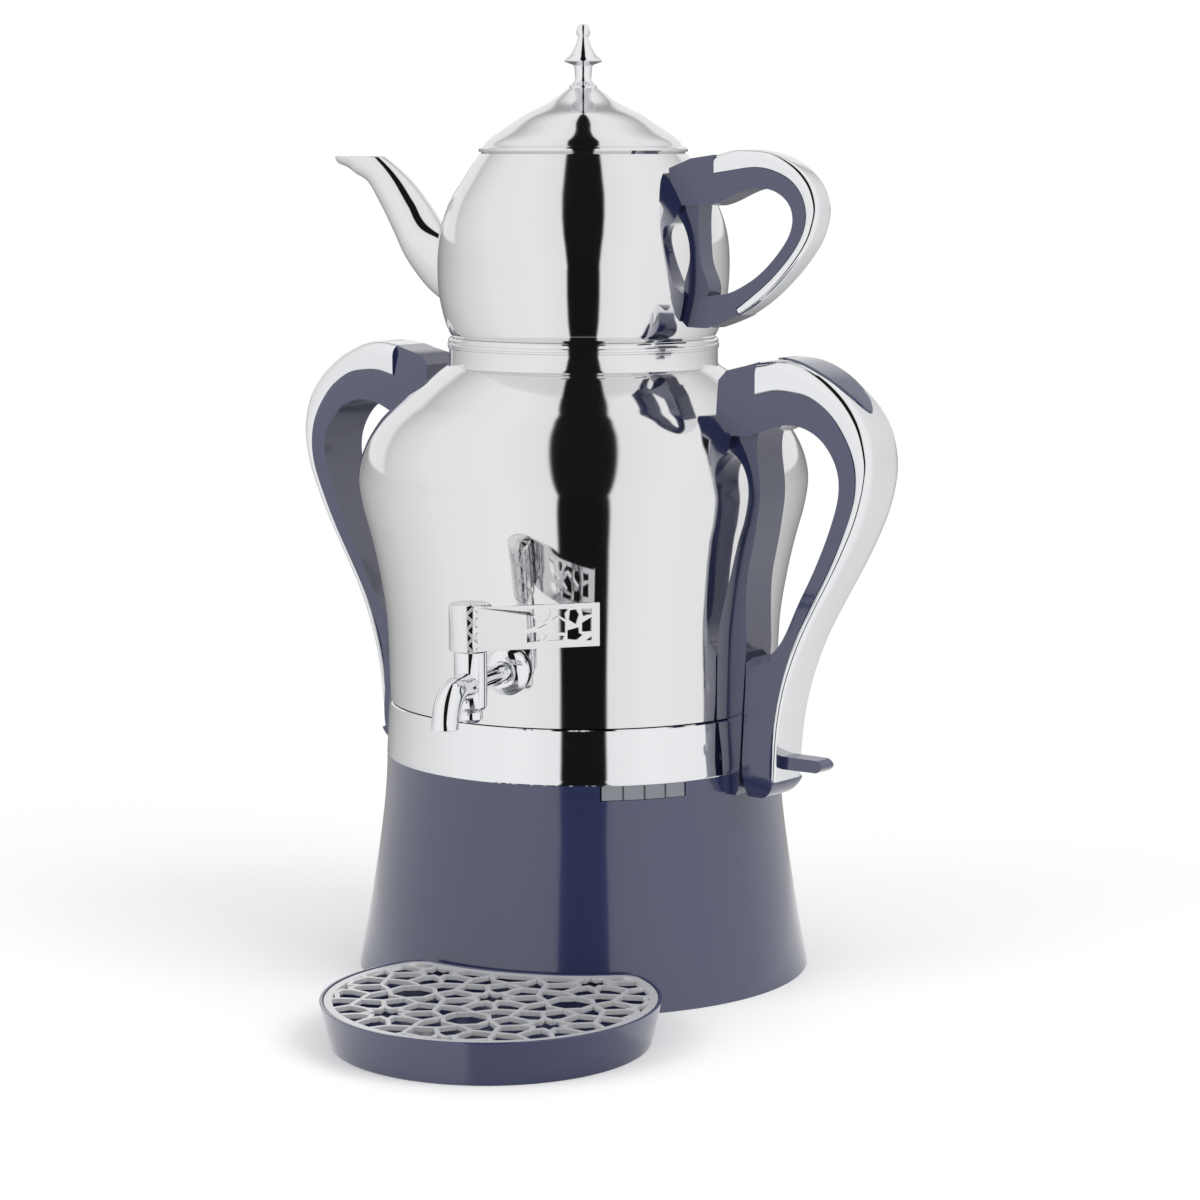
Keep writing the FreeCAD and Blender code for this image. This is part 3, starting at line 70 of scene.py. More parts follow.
def addNode(tree, kind, **values):
    node = tree.nodes.new(kind)
    for key, value in values.items():
        setattr(node, key, value)
    return node


def noiseAt(tree, scale, detail):
    coords = addNode(tree, "ShaderNodeTexCoord")
    noise = addNode(tree, "ShaderNodeTexNoise")
    noise.inputs["Scale"].default_value = scale
    noise.inputs["Detail"].default_value = detail
    tree.links.new(coords.outputs["Object"], noise.inputs["Vector"])
    return noise.outputs["Fac"]


def ranged(tree, value, low, high, fromLow=0.3, fromHigh=0.7):
    fit = addNode(tree, "ShaderNodeMapRange")
    fit.inputs["From Min"].default_value = fromLow
    fit.inputs["From Max"].default_value = fromHigh
    fit.inputs["To Min"].default_value = low
    fit.inputs["To Max"].default_value = high
    tree.links.new(value, fit.inputs["Value"])
    return fit.outputs["Result"]


def bumpFrom(tree, shader, height, strength, distance):
    bump = addNode(tree, "ShaderNodeBump")
    bump.inputs["Strength"].default_value = strength
    bump.inputs["Distance"].default_value = distance
    tree.links.new(height, bump.inputs["Height"])
    tree.links.new(bump.outputs["Normal"], shader.inputs["Normal"])


# ---- finishes ----
finishes = {
    "navyPlastic": {"color": (0.027, 0.034, 0.096), "metal": 0, "rough": (0.10, 0.18),
                    "grain": 90, "bump": 0.02, "coat": 1.0},
    "polishedSteel": {"color": (0.80, 0.80, 0.81), "metal": 1, "rough": (0.035, 0.085),
                      "grain": 24, "bump": 0.010, "coat": 0},
    "brightChrome": {"color": (0.84, 0.85, 0.87), "metal": 1, "rough": (0.03, 0.07),
                     "grain": 60, "bump": 0.012, "coat": 0},
    "castChrome": {"color": (0.78, 0.78, 0.79), "metal": 1, "rough": (0.07, 0.16),
                   "grain": 260, "bump": 0.05, "coat": 0},
    "turnedBrass": {"color": (0.75, 0.58, 0.28), "metal": 1, "rough": (0.22, 0.34),
                    "grain": 300, "bump": 0.05, "coat": 0},
    "zincSteel": {"color": (0.62, 0.62, 0.65), "metal": 1, "rough": (0.25, 0.4),
                  "grain": 400, "bump": 0.06, "coat": 0},
    "blackPlastic": {"color": (0.022, 0.022, 0.026), "metal": 0, "rough": (0.42, 0.58),
                     "grain": 700, "bump": 0.12, "coat": 0},
    "footRubber": {"color": (0.016, 0.016, 0.017), "metal": 0, "rough": (0.6, 0.8),
                   "grain": 500, "bump": 0.15, "coat": 0},
    "satinSteel": {"color": (0.80, 0.80, 0.81), "metal": 0.45, "rough": (0.30, 0.42),
                   "grain": 260, "bump": 0.03, "coat": 0},
    "clearLens": {"color": (0.72, 0.78, 0.9), "metal": 0, "rough": (0.08, 0.15),
                  "grain": 60, "bump": 0.01, "coat": 0},
    "boardGreen": {"color": (0.03, 0.16, 0.08), "metal": 0, "rough": (0.3, 0.45),
                   "grain": 200, "bump": 0.05, "coat": 0},
    "castAluminium": {"color": (0.66, 0.67, 0.68), "metal": 1, "rough": (0.35, 0.5),
                      "grain": 260, "bump": 0.12, "coat": 0},
    "elementSteel": {"color": (0.38, 0.37, 0.36), "metal": 1, "rough": (0.3, 0.5),
                     "grain": 200, "bump": 0.08, "coat": 0},
}
surface = {"grainDetail": 4, "broadScale": 9, "broadDetail": 2, "bumpDepth": 0.001,
           "coatRough": 0.04, "coatedGloss": 0.65, "plainGloss": 0.5}
made = {}
for name, look in finishes.items():
    material, shader, tree = newMaterial(name, look["color"], look["metal"], look["rough"][0])
    grain = noiseAt(tree, look["grain"], surface["grainDetail"])
    broad = noiseAt(tree, surface["broadScale"], surface["broadDetail"])
    tree.links.new(ranged(tree, broad, *look["rough"]), shader.inputs["Roughness"])
    bumpFrom(tree, shader, grain, look["bump"], surface["bumpDepth"])
    shader.inputs["Coat Weight"].default_value = look["coat"]
    shader.inputs["Coat Roughness"].default_value = surface["coatRough"]
    gloss = surface["coatedGloss"] if look["coat"] else surface["plainGloss"]
    shader.inputs["Specular IOR Level"].default_value = gloss
    made[name] = material

# The lamp window: smoky translucent plastic, four panes with dark lines between and fine ribs all over.
windowLook = {"turn": -34.5, "arc": 24.5, "panes": 4, "lineEdges": (0.02, 0.06),
              "line": (0.035, 0.038, 0.05, 1),
              "pane": (0.36, 0.37, 0.42, 1), "ribs": 60, "ribBump": (0.35, 0.0005), "clear": 0.35}
material, shader, tree = newMaterial("smokyWindow", (0.22, 0.23, 0.28), 0, 0.18)
coords = addNode(tree, "ShaderNodeTexCoord")
mapping = addNode(tree, "ShaderNodeMapping")
mapping.inputs["Rotation"].default_value = (0, 0, radians(windowLook["arc"] / 2 - windowLook["turn"]))
split = addNode(tree, "ShaderNodeSeparateXYZ")
angle = addNode(tree, "ShaderNodeMath", operation="ARCTAN2")
tree.links.new(coords.outputs["Object"], mapping.inputs["Vector"])
tree.links.new(mapping.outputs["Vector"], split.inputs["Vector"])
tree.links.new(split.outputs["Y"], angle.inputs[0])
tree.links.new(split.outputs["X"], angle.inputs[1])
panes = addNode(tree, "ShaderNodeMath", operation="MULTIPLY")
panes.inputs[1].default_value = windowLook["panes"] / radians(windowLook["arc"])
tree.links.new(angle.outputs[0], panes.inputs[0])
inPane = addNode(tree, "ShaderNodeMath", operation="PINGPONG")
inPane.inputs[1].default_value = 0.5
tree.links.new(panes.outputs[0], inPane.inputs[0])
lines = ranged(tree, inPane.outputs[0], 0.0, 1.0, *windowLook["lineEdges"])
tint = addNode(tree, "ShaderNodeMix", data_type="RGBA")
tint.inputs[6].default_value = windowLook["line"]
tint.inputs[7].default_value = windowLook["pane"]
tree.links.new(lines, tint.inputs[0])
tree.links.new(tint.outputs[2], shader.inputs["Base Color"])
ribs = addNode(tree, "ShaderNodeTexWave", bands_direction="X")
ribCoords = addNode(tree, "ShaderNodeCombineXYZ")
tree.links.new(angle.outputs[0], ribCoords.inputs["X"])
tree.links.new(ribCoords.outputs[0], ribs.inputs["Vector"])
ribs.inputs["Scale"].default_value = windowLook["ribs"]
bumpFrom(tree, shader, ribs.outputs["Fac"], *windowLook["ribBump"])
shader.inputs["Transmission Weight"].default_value = windowLook["clear"]
made["smokyWindow"] = material

# The tap's cap: engraved with a lattice of small diamonds on the lever's side, plain on the other.
capLook = {"turn": -73.0, "lever": 38.2, "out": 136.7, "girth": 0.0095, "diamonds": 210,
           "grooves": (0.03, 0.12),
           "plainEnd": (-0.0012, -0.0008), "bump": (0.9, 0.0008)}
material, shader, tree = newMaterial("engravedCap", (0.80, 0.80, 0.81), 1, 0.09)
coords = addNode(tree, "ShaderNodeTexCoord")
mapping = addNode(tree, "ShaderNodeMapping")
capPlace = Matrix.Rotation(radians(capLook["turn"]), 3, "Z") @ Vector((-capLook["out"] * mm, 0, 0))
mapping.inputs["Location"].default_value = capPlace
tree.links.new(coords.outputs["Object"], mapping.inputs["Vector"])
split = addNode(tree, "ShaderNodeSeparateXYZ")
tree.links.new(mapping.outputs["Vector"], split.inputs["Vector"])
angle = addNode(tree, "ShaderNodeMath", operation="ARCTAN2")
tree.links.new(split.outputs["Y"], angle.inputs[0])
tree.links.new(split.outputs["X"], angle.inputs[1])
girth = addNode(tree, "ShaderNodeMath", operation="MULTIPLY")
girth.inputs[1].default_value = capLook["girth"]
tree.links.new(angle.outputs[0], girth.inputs[0])
rolled = addNode(tree, "ShaderNodeCombineXYZ")
tree.links.new(girth.outputs[0], rolled.inputs["X"])
tree.links.new(split.outputs["Z"], rolled.inputs["Y"])
cells = addNode(tree, "ShaderNodeTexVoronoi", feature="DISTANCE_TO_EDGE")
cells.inputs["Scale"].default_value = capLook["diamonds"]
cells.inputs["Randomness"].default_value = 0.0
diagonal = addNode(tree, "ShaderNodeMapping")
diagonal.inputs["Rotation"].default_value = (0, 0, radians(45))
tree.links.new(rolled.outputs[0], diagonal.inputs["Vector"])
tree.links.new(diagonal.outputs["Vector"], cells.inputs["Vector"])
rightward = addNode(tree, "ShaderNodeVectorMath", operation="DOT_PRODUCT")
rightward.inputs[1].default_value = (cos(radians(capLook["lever"])), sin(radians(capLook["lever"])), 0)
tree.links.new(mapping.outputs["Vector"], rightward.inputs[0])
plainPart = ranged(tree, rightward.outputs["Value"], 1, 0, *capLook["plainEnd"])
engraved = addNode(tree, "ShaderNodeMath", operation="MAXIMUM")
tree.links.new(ranged(tree, cells.outputs["Distance"], 0, 1, *capLook["grooves"]), engraved.inputs[0])
tree.links.new(plainPart, engraved.inputs[1])
bumpFrom(tree, shader, engraved.outputs[0], *capLook["bump"])
made["engravedCap"] = material


# ---- mesh helpers ----
def smoothLine(points, count):
    # a smooth line through given points
    points = [Vector(point) for point in points]
    ends = [points[0] * 2 - points[1]] + points + [points[-1] * 2 - points[-2]]
    line = []
    for k in range(count):
        along = k / (count - 1) * (len(points) - 1)
        i = min(int(along), len(points) - 2)
        f = along - i
        a, b, c, d = ends[i:i + 4]
        square = (2 * a - 5 * b + 4 * c - d) * f * f
        cube = (3 * b - a - 3 * c + d) * f ** 3
        line.append(0.5 * (2 * b + (c - a) * f + square + cube))
    return line


softEdge = {"steps": 3, "from": 38}


def finishPiece(name, bm, body, finish, nodes, sharp=32):
    bmesh.ops.remove_doubles(bm, verts=bm.verts, dist=1e-6)
    mesh = bpy.data.meshes.new(name)
    for face in bm.faces:
        face.smooth = True
    bm.to_mesh(mesh)
    bm.free()
    mesh.set_sharp_from_angle(angle=radians(sharp))
    mesh.materials.append(made[finish])
    piece = bpy.data.objects.new(name, mesh)
    bpy.context.scene.collection.objects.link(piece)
    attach(piece, body)
    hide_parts(*nodes)
    return piece


def spinPiece(name, profile, body, finish, nodes, steps=180, closed=False, sharp=32):
    # profile: (radius, height) from low to high outside, and back down inside where closed
    bm = bmesh.new()
    verts = [bm.verts.new((r * mm, 0, z * mm)) for r, z in profile]
    edges = [bm.edges.new(pair) for pair in zip(verts, verts[1:])]
    if closed:
        edges.append(bm.edges.new((verts[-1], verts[0])))
    bmesh.ops.spin(bm, geom=verts + edges, cent=(0, 0, 0), axis=(0, 0, 1), dvec=(0, 0, 0),
                   angle=2 * pi, steps=steps, use_merge=True)
    bmesh.ops.remove_doubles(bm, verts=bm.verts, dist=1e-6)
    bmesh.ops.recalc_face_normals(bm, faces=bm.faces)
    return finishPiece(name, bm, body, finish, nodes, sharp)


def curveOf(points, count=40):
    return [(p.x, p.y) for p in smoothLine([(r, z, 0) for r, z in points], count)]


def inwards(line, wall):
    # the same line moved in by a wall's thickness
    moved = []
    for k, (r, z) in enumerate(line):
        before = line[max(k - 1, 0)]
        after = line[min(k + 1, len(line) - 1)]
        way = Vector((after[0] - before[0], after[1] - before[1])).normalized()
        moved.append((r - way.y * wall, z + way.x * wall))
    return moved


def copyOf(name, node, body, finish, bevel=0.0, lift=(0, 0, 0)):
    # a merged copy of a CAD node's mesh, its sharp edges softened
    bm = bmesh.new()
    bm.from_mesh(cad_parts[node].data)
    bmesh.ops.translate(bm, verts=bm.verts, vec=Vector(lift) * mm)
    bmesh.ops.remove_doubles(bm, verts=bm.verts, dist=2e-6)
    bmesh.ops.dissolve_limit(bm, angle_limit=radians(0.05), verts=bm.verts, edges=bm.edges)
    piece = finishPiece(name, bm, body, finish, [node])
    if bevel:
        edge = piece.modifiers.new("softEdges", "BEVEL")
        edge.width = bevel * mm
        edge.segments = softEdge["steps"]
        edge.limit_method = "ANGLE"
        edge.angle_limit = radians(softEdge["from"])
        edge.harden_normals = True
    return piece


# ---- the base ----
copyOf("baseSkin", "base_shell", "samovar", "navyPlastic")
bandFace = curveOf([(95.0, 104.6), (94.4, 117), (93.75, 128.9)], 12)
band = [(91, 103.7), (94.9, 103.7), (95.1, 104.2)] + bandFace
band += [(93.3, 129.5), (92.7, 129.6), (94.0, 104.9), (91, 104.7)]
spinPiece("chromeBand", band, "samovar", "brightChrome", ["base_band"], closed=True)
print("base made")

# ---- the kettle ----
kettle = {
    "outside": [(93.2, 130.1), (93.55, 145), (93.99, 159.3), (94.9, 172.5), (96.85, 185.4),
                (99.49, 199.0), (102.3, 210.5), (105.6, 222.6), (107.5, 234.6), (106.6, 244.2),
                (102.9, 254.2), (97.1, 263.3), (90.9, 269.8), (84.9, 274.7), (76.0, 281.8), (68.2, 287.6)],
    "neck": [(64.6, 290.0), (64.1, 291.4), (64.1, 298.1), (64.6, 298.5), (64.6, 299.3), (62.9, 299.3)],
    "wall": 1.0,
}
wallLine = curveOf(kettle["outside"], 110)
profile = [(91.7, 122.0), (91.7, 129.8)] + wallLine + kettle["neck"]
inner = inwards(wallLine, kettle["wall"])[::-1]
profile += [(63.1, 290.4), (66.6, 286.9)] + inner[3:] + [(90.7, 130.0), (90.7, 122.0)]
spinPiece("kettleSkin", profile, "samovar", "polishedSteel", ["kettle_shell"],
          closed=True, steps=216)

# ---- steam ring ----
copyOf("neckRing", "steam_ring", "steam_ring", "polishedSteel", 0.25)
print("kettle made")

# ---- the teapot ----
pot = {
    "outside": [(62.4, 303.5), (64.0, 306.2), (65.8, 311.0), (67.1, 315.9), (68.3, 321.6), (69.1, 328.1),
                (69.5, 338.6), (69.0, 347.6), (67.8, 354.4), (65.7, 361.3), (62.2, 369.2), (57.7, 376.3),
                (52.9, 383.8), (48.0, 390.5)],
    "wall": 1.0,
}
bowlLine = curveOf(pot["outside"], 90)
inner = inwards(bowlLine, pot["wall"])[::-1]
profile = [(0, 303.5)] + bowlLine + [(47.0, 390.5)] + inner[2:-1] + [(60.8, 304.5), (0, 304.5)]
spinPiece("potBowl", profile, "teapot", "polishedSteel", ["teapot_shell"], closed=True,
          steps=180)

foot = [(0, 297.7), (60.3, 297.7), (61.3, 298.7), (61.3, 300.7), (64.1, 300.7), (64.4, 301.3),
        (64.3, 302.4), (63.7, 303.1), (62.4, 303.45), (0, 303.45)]
spinPiece("potFoot", foot, "teapot", "polishedSteel", ["teapot_base"])

lid = {
    "curve": [(46.9, 392.9), (44.4, 396.2), (36.8, 401.6), (27.9, 407.5), (16.5, 413.3), (8.3, 419.3),
              (7.0, 420.3)],
    "rim": [(49.2, 390.5), (49.5, 390.9), (49.5, 391.7), (49.0, 392.3), (48.0, 392.6)],
    "wall": 0.9,
}
dome = curveOf(lid["curve"], 60)
inner = inwards(dome, lid["wall"])[::-1]
profile = lid["rim"] + dome + [(2.2, 420.3), (2.2, 419.4), (6.4, 419.4)] + inner[3:-4]
profile += [(45.8, 392.5), (45.8, 385.5), (46.7, 385.5), (46.7, 390.5)]
spinPiece("potLid", profile, "lid", "polishedSteel", ["teapot_lid"], closed=True)

knob = [(0, 414.3), (2, 414.3), (2, 420.3), (6.5, 420.3), (6.5, 421.3)]
knob += curveOf([(6.2, 421.4), (4.4, 423.3), (3.9, 425.05), (4.05, 428.3), (4.5, 430.7), (6.4, 431.6),
                 (8.6, 432.5), (8.8, 433.2), (8.0, 434.2), (5.8, 436.3), (3.7, 440.2), (2.5, 443.9)], 44)
knob += curveOf([(2.5, 444.1), (3.04, 445.2), (3.2, 447.0), (2.4, 449.0), (1.2, 449.8), (0, 450.0)], 14)
spinPiece("lidKnob", knob, "lid", "brightChrome", ["lid_knob"], steps=72, sharp=50)
print("teapot made")

# ---- the spout ----
spout = {
    # along, height, radius, climb
    "stations": [(60.0, 327.0, 17.0, 25), (80.0, 333.0, 15.5, 35), (97.8, 344.8, 12.5, 46),
                 (108.2, 358.4, 11.2, 51), (118.0, 370.3, 9.8, 50), (130.2, 381.3, 7.6, 35),
                 (141.0, 386.5, 7.2, 22), (147.0, 389.0, 6.6, 18), (153.5, 391.0, 6.5, 15)],
    "lip": 388.5, "wall": 1.0, "rings": 70, "around": 48,
}
bm = bmesh.new()
path = smoothLine([(x, z, 0) for x, z, r, c in spout["stations"]], spout["rings"])
girths = smoothLine([(r, c, 0) for x, z, r, c in spout["stations"]], spout["rings"])
rings = []
for place, girth in zip(path, girths):
    climb = Matrix.Rotation(radians(girth.y - 90), 4, "Y")
    matrix = Matrix.Translation((-place.x * mm, 0, place.y * mm)) @ climb
    ring = bmesh.ops.create_circle(bm, segments=spout["around"], radius=girth.x * mm,
                                   matrix=matrix)["verts"]
    rings.append({edge for vert in ring for edge in vert.link_edges})
for low, high in zip(rings, rings[1:]):
    bmesh.ops.bridge_loops(bm, edges=list(low | high))
bmesh.ops.recalc_face_normals(bm, faces=bm.faces)
bmesh.ops.bisect_plane(bm, geom=bm.verts[:] + bm.edges[:] + bm.faces[:], dist=1e-6,
                       plane_co=(0, 0, spout["lip"] * mm), plane_no=(0, 0, 1), clear_outer=True)
spoutPiece = finishPiece("swanSpout", bm, "teapot", "polishedSteel", ["teapot_spout"], 60)
wall = spoutPiece.modifiers.new("wall", "SOLIDIFY")
wall.thickness = spout["wall"] * mm
wall.offset = -1
print("spout made")


# ---- handles ----
# the least thickness, how far the corners may be rounded and in how many steps, and the rings of a sweep
sweep = {"thinnest": 0.6, "outShare": 0.62, "sideShare": 0.6, "inShare": 0.3, "outSteps": 8, "inSteps": 3,
         "rings": 70}


def sweepPiece(name, outer, inner, width, body, finish, nodes, roundOut, roundIn, mirror=False):
    # rounded cross-sections between an outer and an inner line in the XZ plane
    bm = bmesh.new()
    outerLine = smoothLine([(x, 0, z) for x, z in outer], sweep["rings"])
    innerLine = smoothLine([(x, 0, z) for x, z in inner], sweep["rings"])
    loops = []
    for far, near in zip(outerLine, innerLine):
        middle = (far + near) / 2
        half = width(middle.z)
        depth = far - near
        thick = max(depth.length, sweep["thinnest"])
        away = depth.normalized()
        side = Vector((0, 1, 0))
        section = bmesh.new()
        corners = [(-thick / 2, -half, 0), (thick / 2, -half, 0), (thick / 2, half, 0),
                   (-thick / 2, half, 0)]
        section.faces.new([section.verts.new(corner) for corner in corners])
        out = [v for v in section.verts if v.co.x > 0]
        inn = [v for v in section.verts if v.co.x < 0]
        outRound = min(roundOut, thick * sweep["outShare"], half * sweep["sideShare"])
        inRound = min(roundIn, thick * sweep["inShare"])
        for corner, radius, steps in ((out, outRound, sweep["outSteps"]), (inn, inRound, sweep["inSteps"])):
            bmesh.ops.bevel(section, geom=corner, offset=radius, affect="VERTICES", segments=steps,
                            profile=0.5, material=-1, offset_type="OFFSET")
        place = Matrix((away, side, away.cross(side))).transposed().to_4x4()
        place.translation = middle
        ring = [bm.verts.new((place @ loop.vert.co) * mm) for loop in section.faces[:][0].loops]
        section.free()
        loops.append([bm.edges.new((a, b)) for a, b in zip(ring, ring[1:] + ring[:1])])
    for low, high in zip(loops, loops[1:]):
        bmesh.ops.bridge_loops(bm, edges=low + high)
    bmesh.ops.contextual_create(bm, geom=loops[0])
    bmesh.ops.contextual_create(bm, geom=loops[-1])
    if mirror:
        bmesh.ops.rotate(bm, verts=bm.verts, cent=(0, 0, 0), matrix=Matrix.Rotation(pi, 3, "Z"))
    bmesh.ops.recalc_face_normals(bm, faces=bm.faces)
    return finishPiece(name, bm, body, finish, nodes, 40)


carry = {
    "outer": [(110.0, 295.9), (121.0, 297.3), (131.0, 296.3), (141.4, 292.4), (151.0, 286.9),
              (160.0, 279.4), (167.0, 270.0), (170.8, 258.9), (171.5, 248.5), (168.5, 232.9),
              (161.5, 216.0), (152.0, 199.0), (142.5, 183.0), (134.5, 168.0), (127.5, 150.9),
              (123.5, 136.0), (121.5, 122.0), (120.6, 108.0), (120.3, 103.0)],
    "inner": [(110.0, 281.1), (120.0, 283.3), (130.0, 283.0), (140.0, 281.0), (150.5, 274.5),
              (158.5, 265.0), (163.5, 254.9), (165.0, 245.0), (163.5, 233.5), (157.4, 218.0),
              (149.5, 202.0), (140.5, 186.5), (132.0, 171.0), (125.3, 153.5), (121.3, 138.0),
              (119.2, 124.0), (118.3, 110.0), (118.0, 104.0)],
    "roundOut": 5.5,
    "roundIn": 0.8,
    "wide": [(94, 10.6), (125, 11.3), (176, 11.8), (236, 13.7), (268, 14.0), (300, 13.6)],
    "soft": 2.2,
}


def carryWidth(z):
    # half the handle's width at a height
    wide = carry["wide"]
    for (low, a), (high, b) in zip(wide, wide[1:]):
        if z <= high:
            return a + (b - a) * max(z - low, 0) / (high - low)
    return wide[-1][1]


for side, mirrored in (("right", False), ("left", True)):
    sweepPiece(f"{side}HandleChrome", carry["outer"], carry["inner"], carryWidth, "samovar",
               "brightChrome", [f"{side}_handle_cover"],
               carry["roundOut"], carry["roundIn"], mirrored)
    copyOf(f"{side}HandleCore", f"{side}_handle_core", "samovar", "navyPlastic",
           carry["soft"])

potGrip = {
    "outer": [(81.5, 389.0), (91.0, 391.0), (100.0, 391.0), (110.0, 390.0), (120.0, 386.8),
              (128.6, 381.7), (134.8, 375.0), (137.8, 367.0), (137.5, 360.0), (134.0, 350.5),
              (126.0, 340.0), (116.0, 330.0), (106.0, 322.0), (96.5, 316.5)],
    "inner": [(81.5, 380.5), (92.0, 382.0), (102.0, 383.2), (110.0, 382.8), (118.0, 380.5),
              (124.5, 377.0), (129.5, 371.5), (132.0, 365.0), (132.0, 358.0), (129.0, 350.5),
              (123.0, 342.5), (114.0, 333.5), (105.0, 326.5), (94.6, 319.3)],
    "half": 7.0, "roundOut": 3.4, "roundIn": 0.5, "soft": 0.8,
}
sweepPiece("potHandleChrome", potGrip["outer"], potGrip["inner"], lambda z: potGrip["half"], "teapot",
           "brightChrome", ["teapot_handle_cover"], potGrip["roundOut"],
           potGrip["roundIn"])
# the pad stands just out of the rounded chrome
copyOf("thumbPad", "thumb_pad", "samovar", "navyPlastic", 0.3, lift=(0.35, 0, 0.6))
copyOf("potHandleCore", "teapot_handle_core", "teapot", "navyPlastic", potGrip["soft"])
print("handles made")

# ---- small parts: copies of their CAD nodes with softened edges ----
softened = {
    "switch_paddle": ("switch", "navyPlastic", "navy_plastic", 0.7),
    "drip_tray": ("tray", "navyPlastic", "navy_plastic", 0.5),
    "tray_grille": ("grille", "satinSteel", "plated_plastic", 0.2),
    "tap_lever": ("tap_handle", "castChrome", "chrome_brass", 0.25),
    "tap_body": ("samovar", "brightChrome", "chrome_brass", 0.3),
    "tap_rosette": ("samovar", "brightChrome", "chrome_brass", 0.2),
    "tap_cap": ("tap_handle", "engravedCap", "chrome_brass", 0.0),
    "tap_end_nut": ("tap_handle", "brightChrome", "chrome_brass", 0.2),
    "indicator_window": ("samovar", "smokyWindow", "window_plastic", 0.2),
    "lead_bush": ("samovar", "blackPlastic", "black_plastic", 0.4),
}
# lifted clear of the paddle at the end of its travel
copyOf("microSwitch", "microswitch", "samovar", "blackPlastic", 0.2, lift=(0, 0, 0.35))
for node, (body, finish, slot, bevel) in softened.items():
    first, *rest = node.split("_")
    copyOf(first + "".join(word.title() for word in rest), node, body, finish, bevel)

# ---- the other nodes keep their drawn shapes ----
kept = {
    "blackPlastic": ["base_plate", "thermal_cutout", "lamp_holder"],
    "footRubber": ["rubber_foot_1", "rubber_foot_2", "rubber_foot_3", "rubber_foot_4", "tap_washer"],
    "polishedSteel": ["kettle_floor"],
    "zincSteel": ["base_screws", "handle_screws", "handle_studs", "teapot_handle_studs", "switch_pin"],
    "brightChrome": ["tap_nut", "lid_nut"],
    "turnedBrass": ["tap_plug"],
    "clearLens": ["indicator_lamps"],
    "boardGreen": ["control_board"],
    "castAluminium": ["heater_plate"],
    "elementSteel": ["heating_element", "thermostat"],
}
for finish, names in kept.items():
    for name in names:
        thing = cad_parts[name]
        if not thing.material_slots:
            thing.data.materials.append(made[finish])
        for slotOf in thing.material_slots:
            slotOf.material = made[finish]
print("small parts made")

# ---- stage ----
# What shiny surfaces see round the samovar, by the angle from the camera's side: a dark opening behind
# the camera, white walls to both sides, and a dimmer wall behind the samovar.
studio = {
    "turn": 38.5, "over": 0.7, "wallRise": (0.03, 0.09), "wallSides": (-0.5, -0.2),
    "shades": [(0.0, 0.008), (0.066, 0.008), (0.074, 0.90), (0.20, 0.97), (0.42, 0.93), (0.60, 0.78),
               (0.76, 0.55), (0.88, 0.32), (0.96, 0.16), (1.0, 0.10)],
}
table = {"radius": 9, "gloss": 0.1, "glow": 0.13, "fade": (0.26, 0.60), "shineFade": (0.14, 0.34)}
skyGlow = (0.70, 1.0)


def studioShade(tree, direction):
    unit = addNode(tree, "ShaderNodeVectorMath", operation="NORMALIZE")
    tree.links.new(direction, unit.inputs[0])
    turn = radians(studio["turn"])
    parts = {}
    for name, axis in {"side": (cos(turn), sin(turn), 0),
                       "front": (sin(turn), -cos(turn), studio["over"])}.items():
        parts[name] = addNode(tree, "ShaderNodeVectorMath", operation="DOT_PRODUCT")
        parts[name].inputs[1].default_value = axis
        tree.links.new(unit.outputs[0], parts[name].inputs[0])
    aside = addNode(tree, "ShaderNodeMath", operation="ABSOLUTE")
    tree.links.new(parts["side"].outputs["Value"], aside.inputs[0])
    angle = addNode(tree, "ShaderNodeMath", operation="ARCTAN2")
    tree.links.new(aside.outputs[0], angle.inputs[0])
    tree.links.new(parts["front"].outputs["Value"], angle.inputs[1])
    share = addNode(tree, "ShaderNodeMath", operation="DIVIDE")
    share.inputs[1].default_value = pi
    tree.links.new(angle.outputs[0], share.inputs[0])
    ramp = addNode(tree, "ShaderNodeValToRGB")
    stops = ramp.color_ramp.elements
    stops[0].position, stops[0].color = studio["shades"][0][0], (*[studio["shades"][0][1]] * 3, 1)
    stops[1].position, stops[1].color = studio["shades"][-1][0], (*[studio["shades"][-1][1]] * 3, 1)
    for place, shade in studio["shades"][1:-1]:
        stops.new(place).color = (shade, shade, shade, 1)
    tree.links.new(share.outputs[0], ramp.inputs[0])
    # the far wall is bright above the table, so level faces shine
    height = addNode(tree, "ShaderNodeSeparateXYZ")
    tree.links.new(unit.outputs[0], height.inputs[0])
    bright = addNode(tree, "ShaderNodeMath", operation="MULTIPLY")
    tree.links.new(ranged(tree, height.outputs["Z"], 0, 0.9, *studio["wallRise"]), bright.inputs[0])
    tree.links.new(ranged(tree, parts["front"].outputs["Value"], 1, 0, *studio["wallSides"]),
                   bright.inputs[1])
    shade = addNode(tree, "ShaderNodeMath", operation="MAXIMUM")
    tree.links.new(ramp.outputs["Color"], shade.inputs[0])
    tree.links.new(bright.outputs[0], shade.inputs[1])
    return shade.outputs[0]


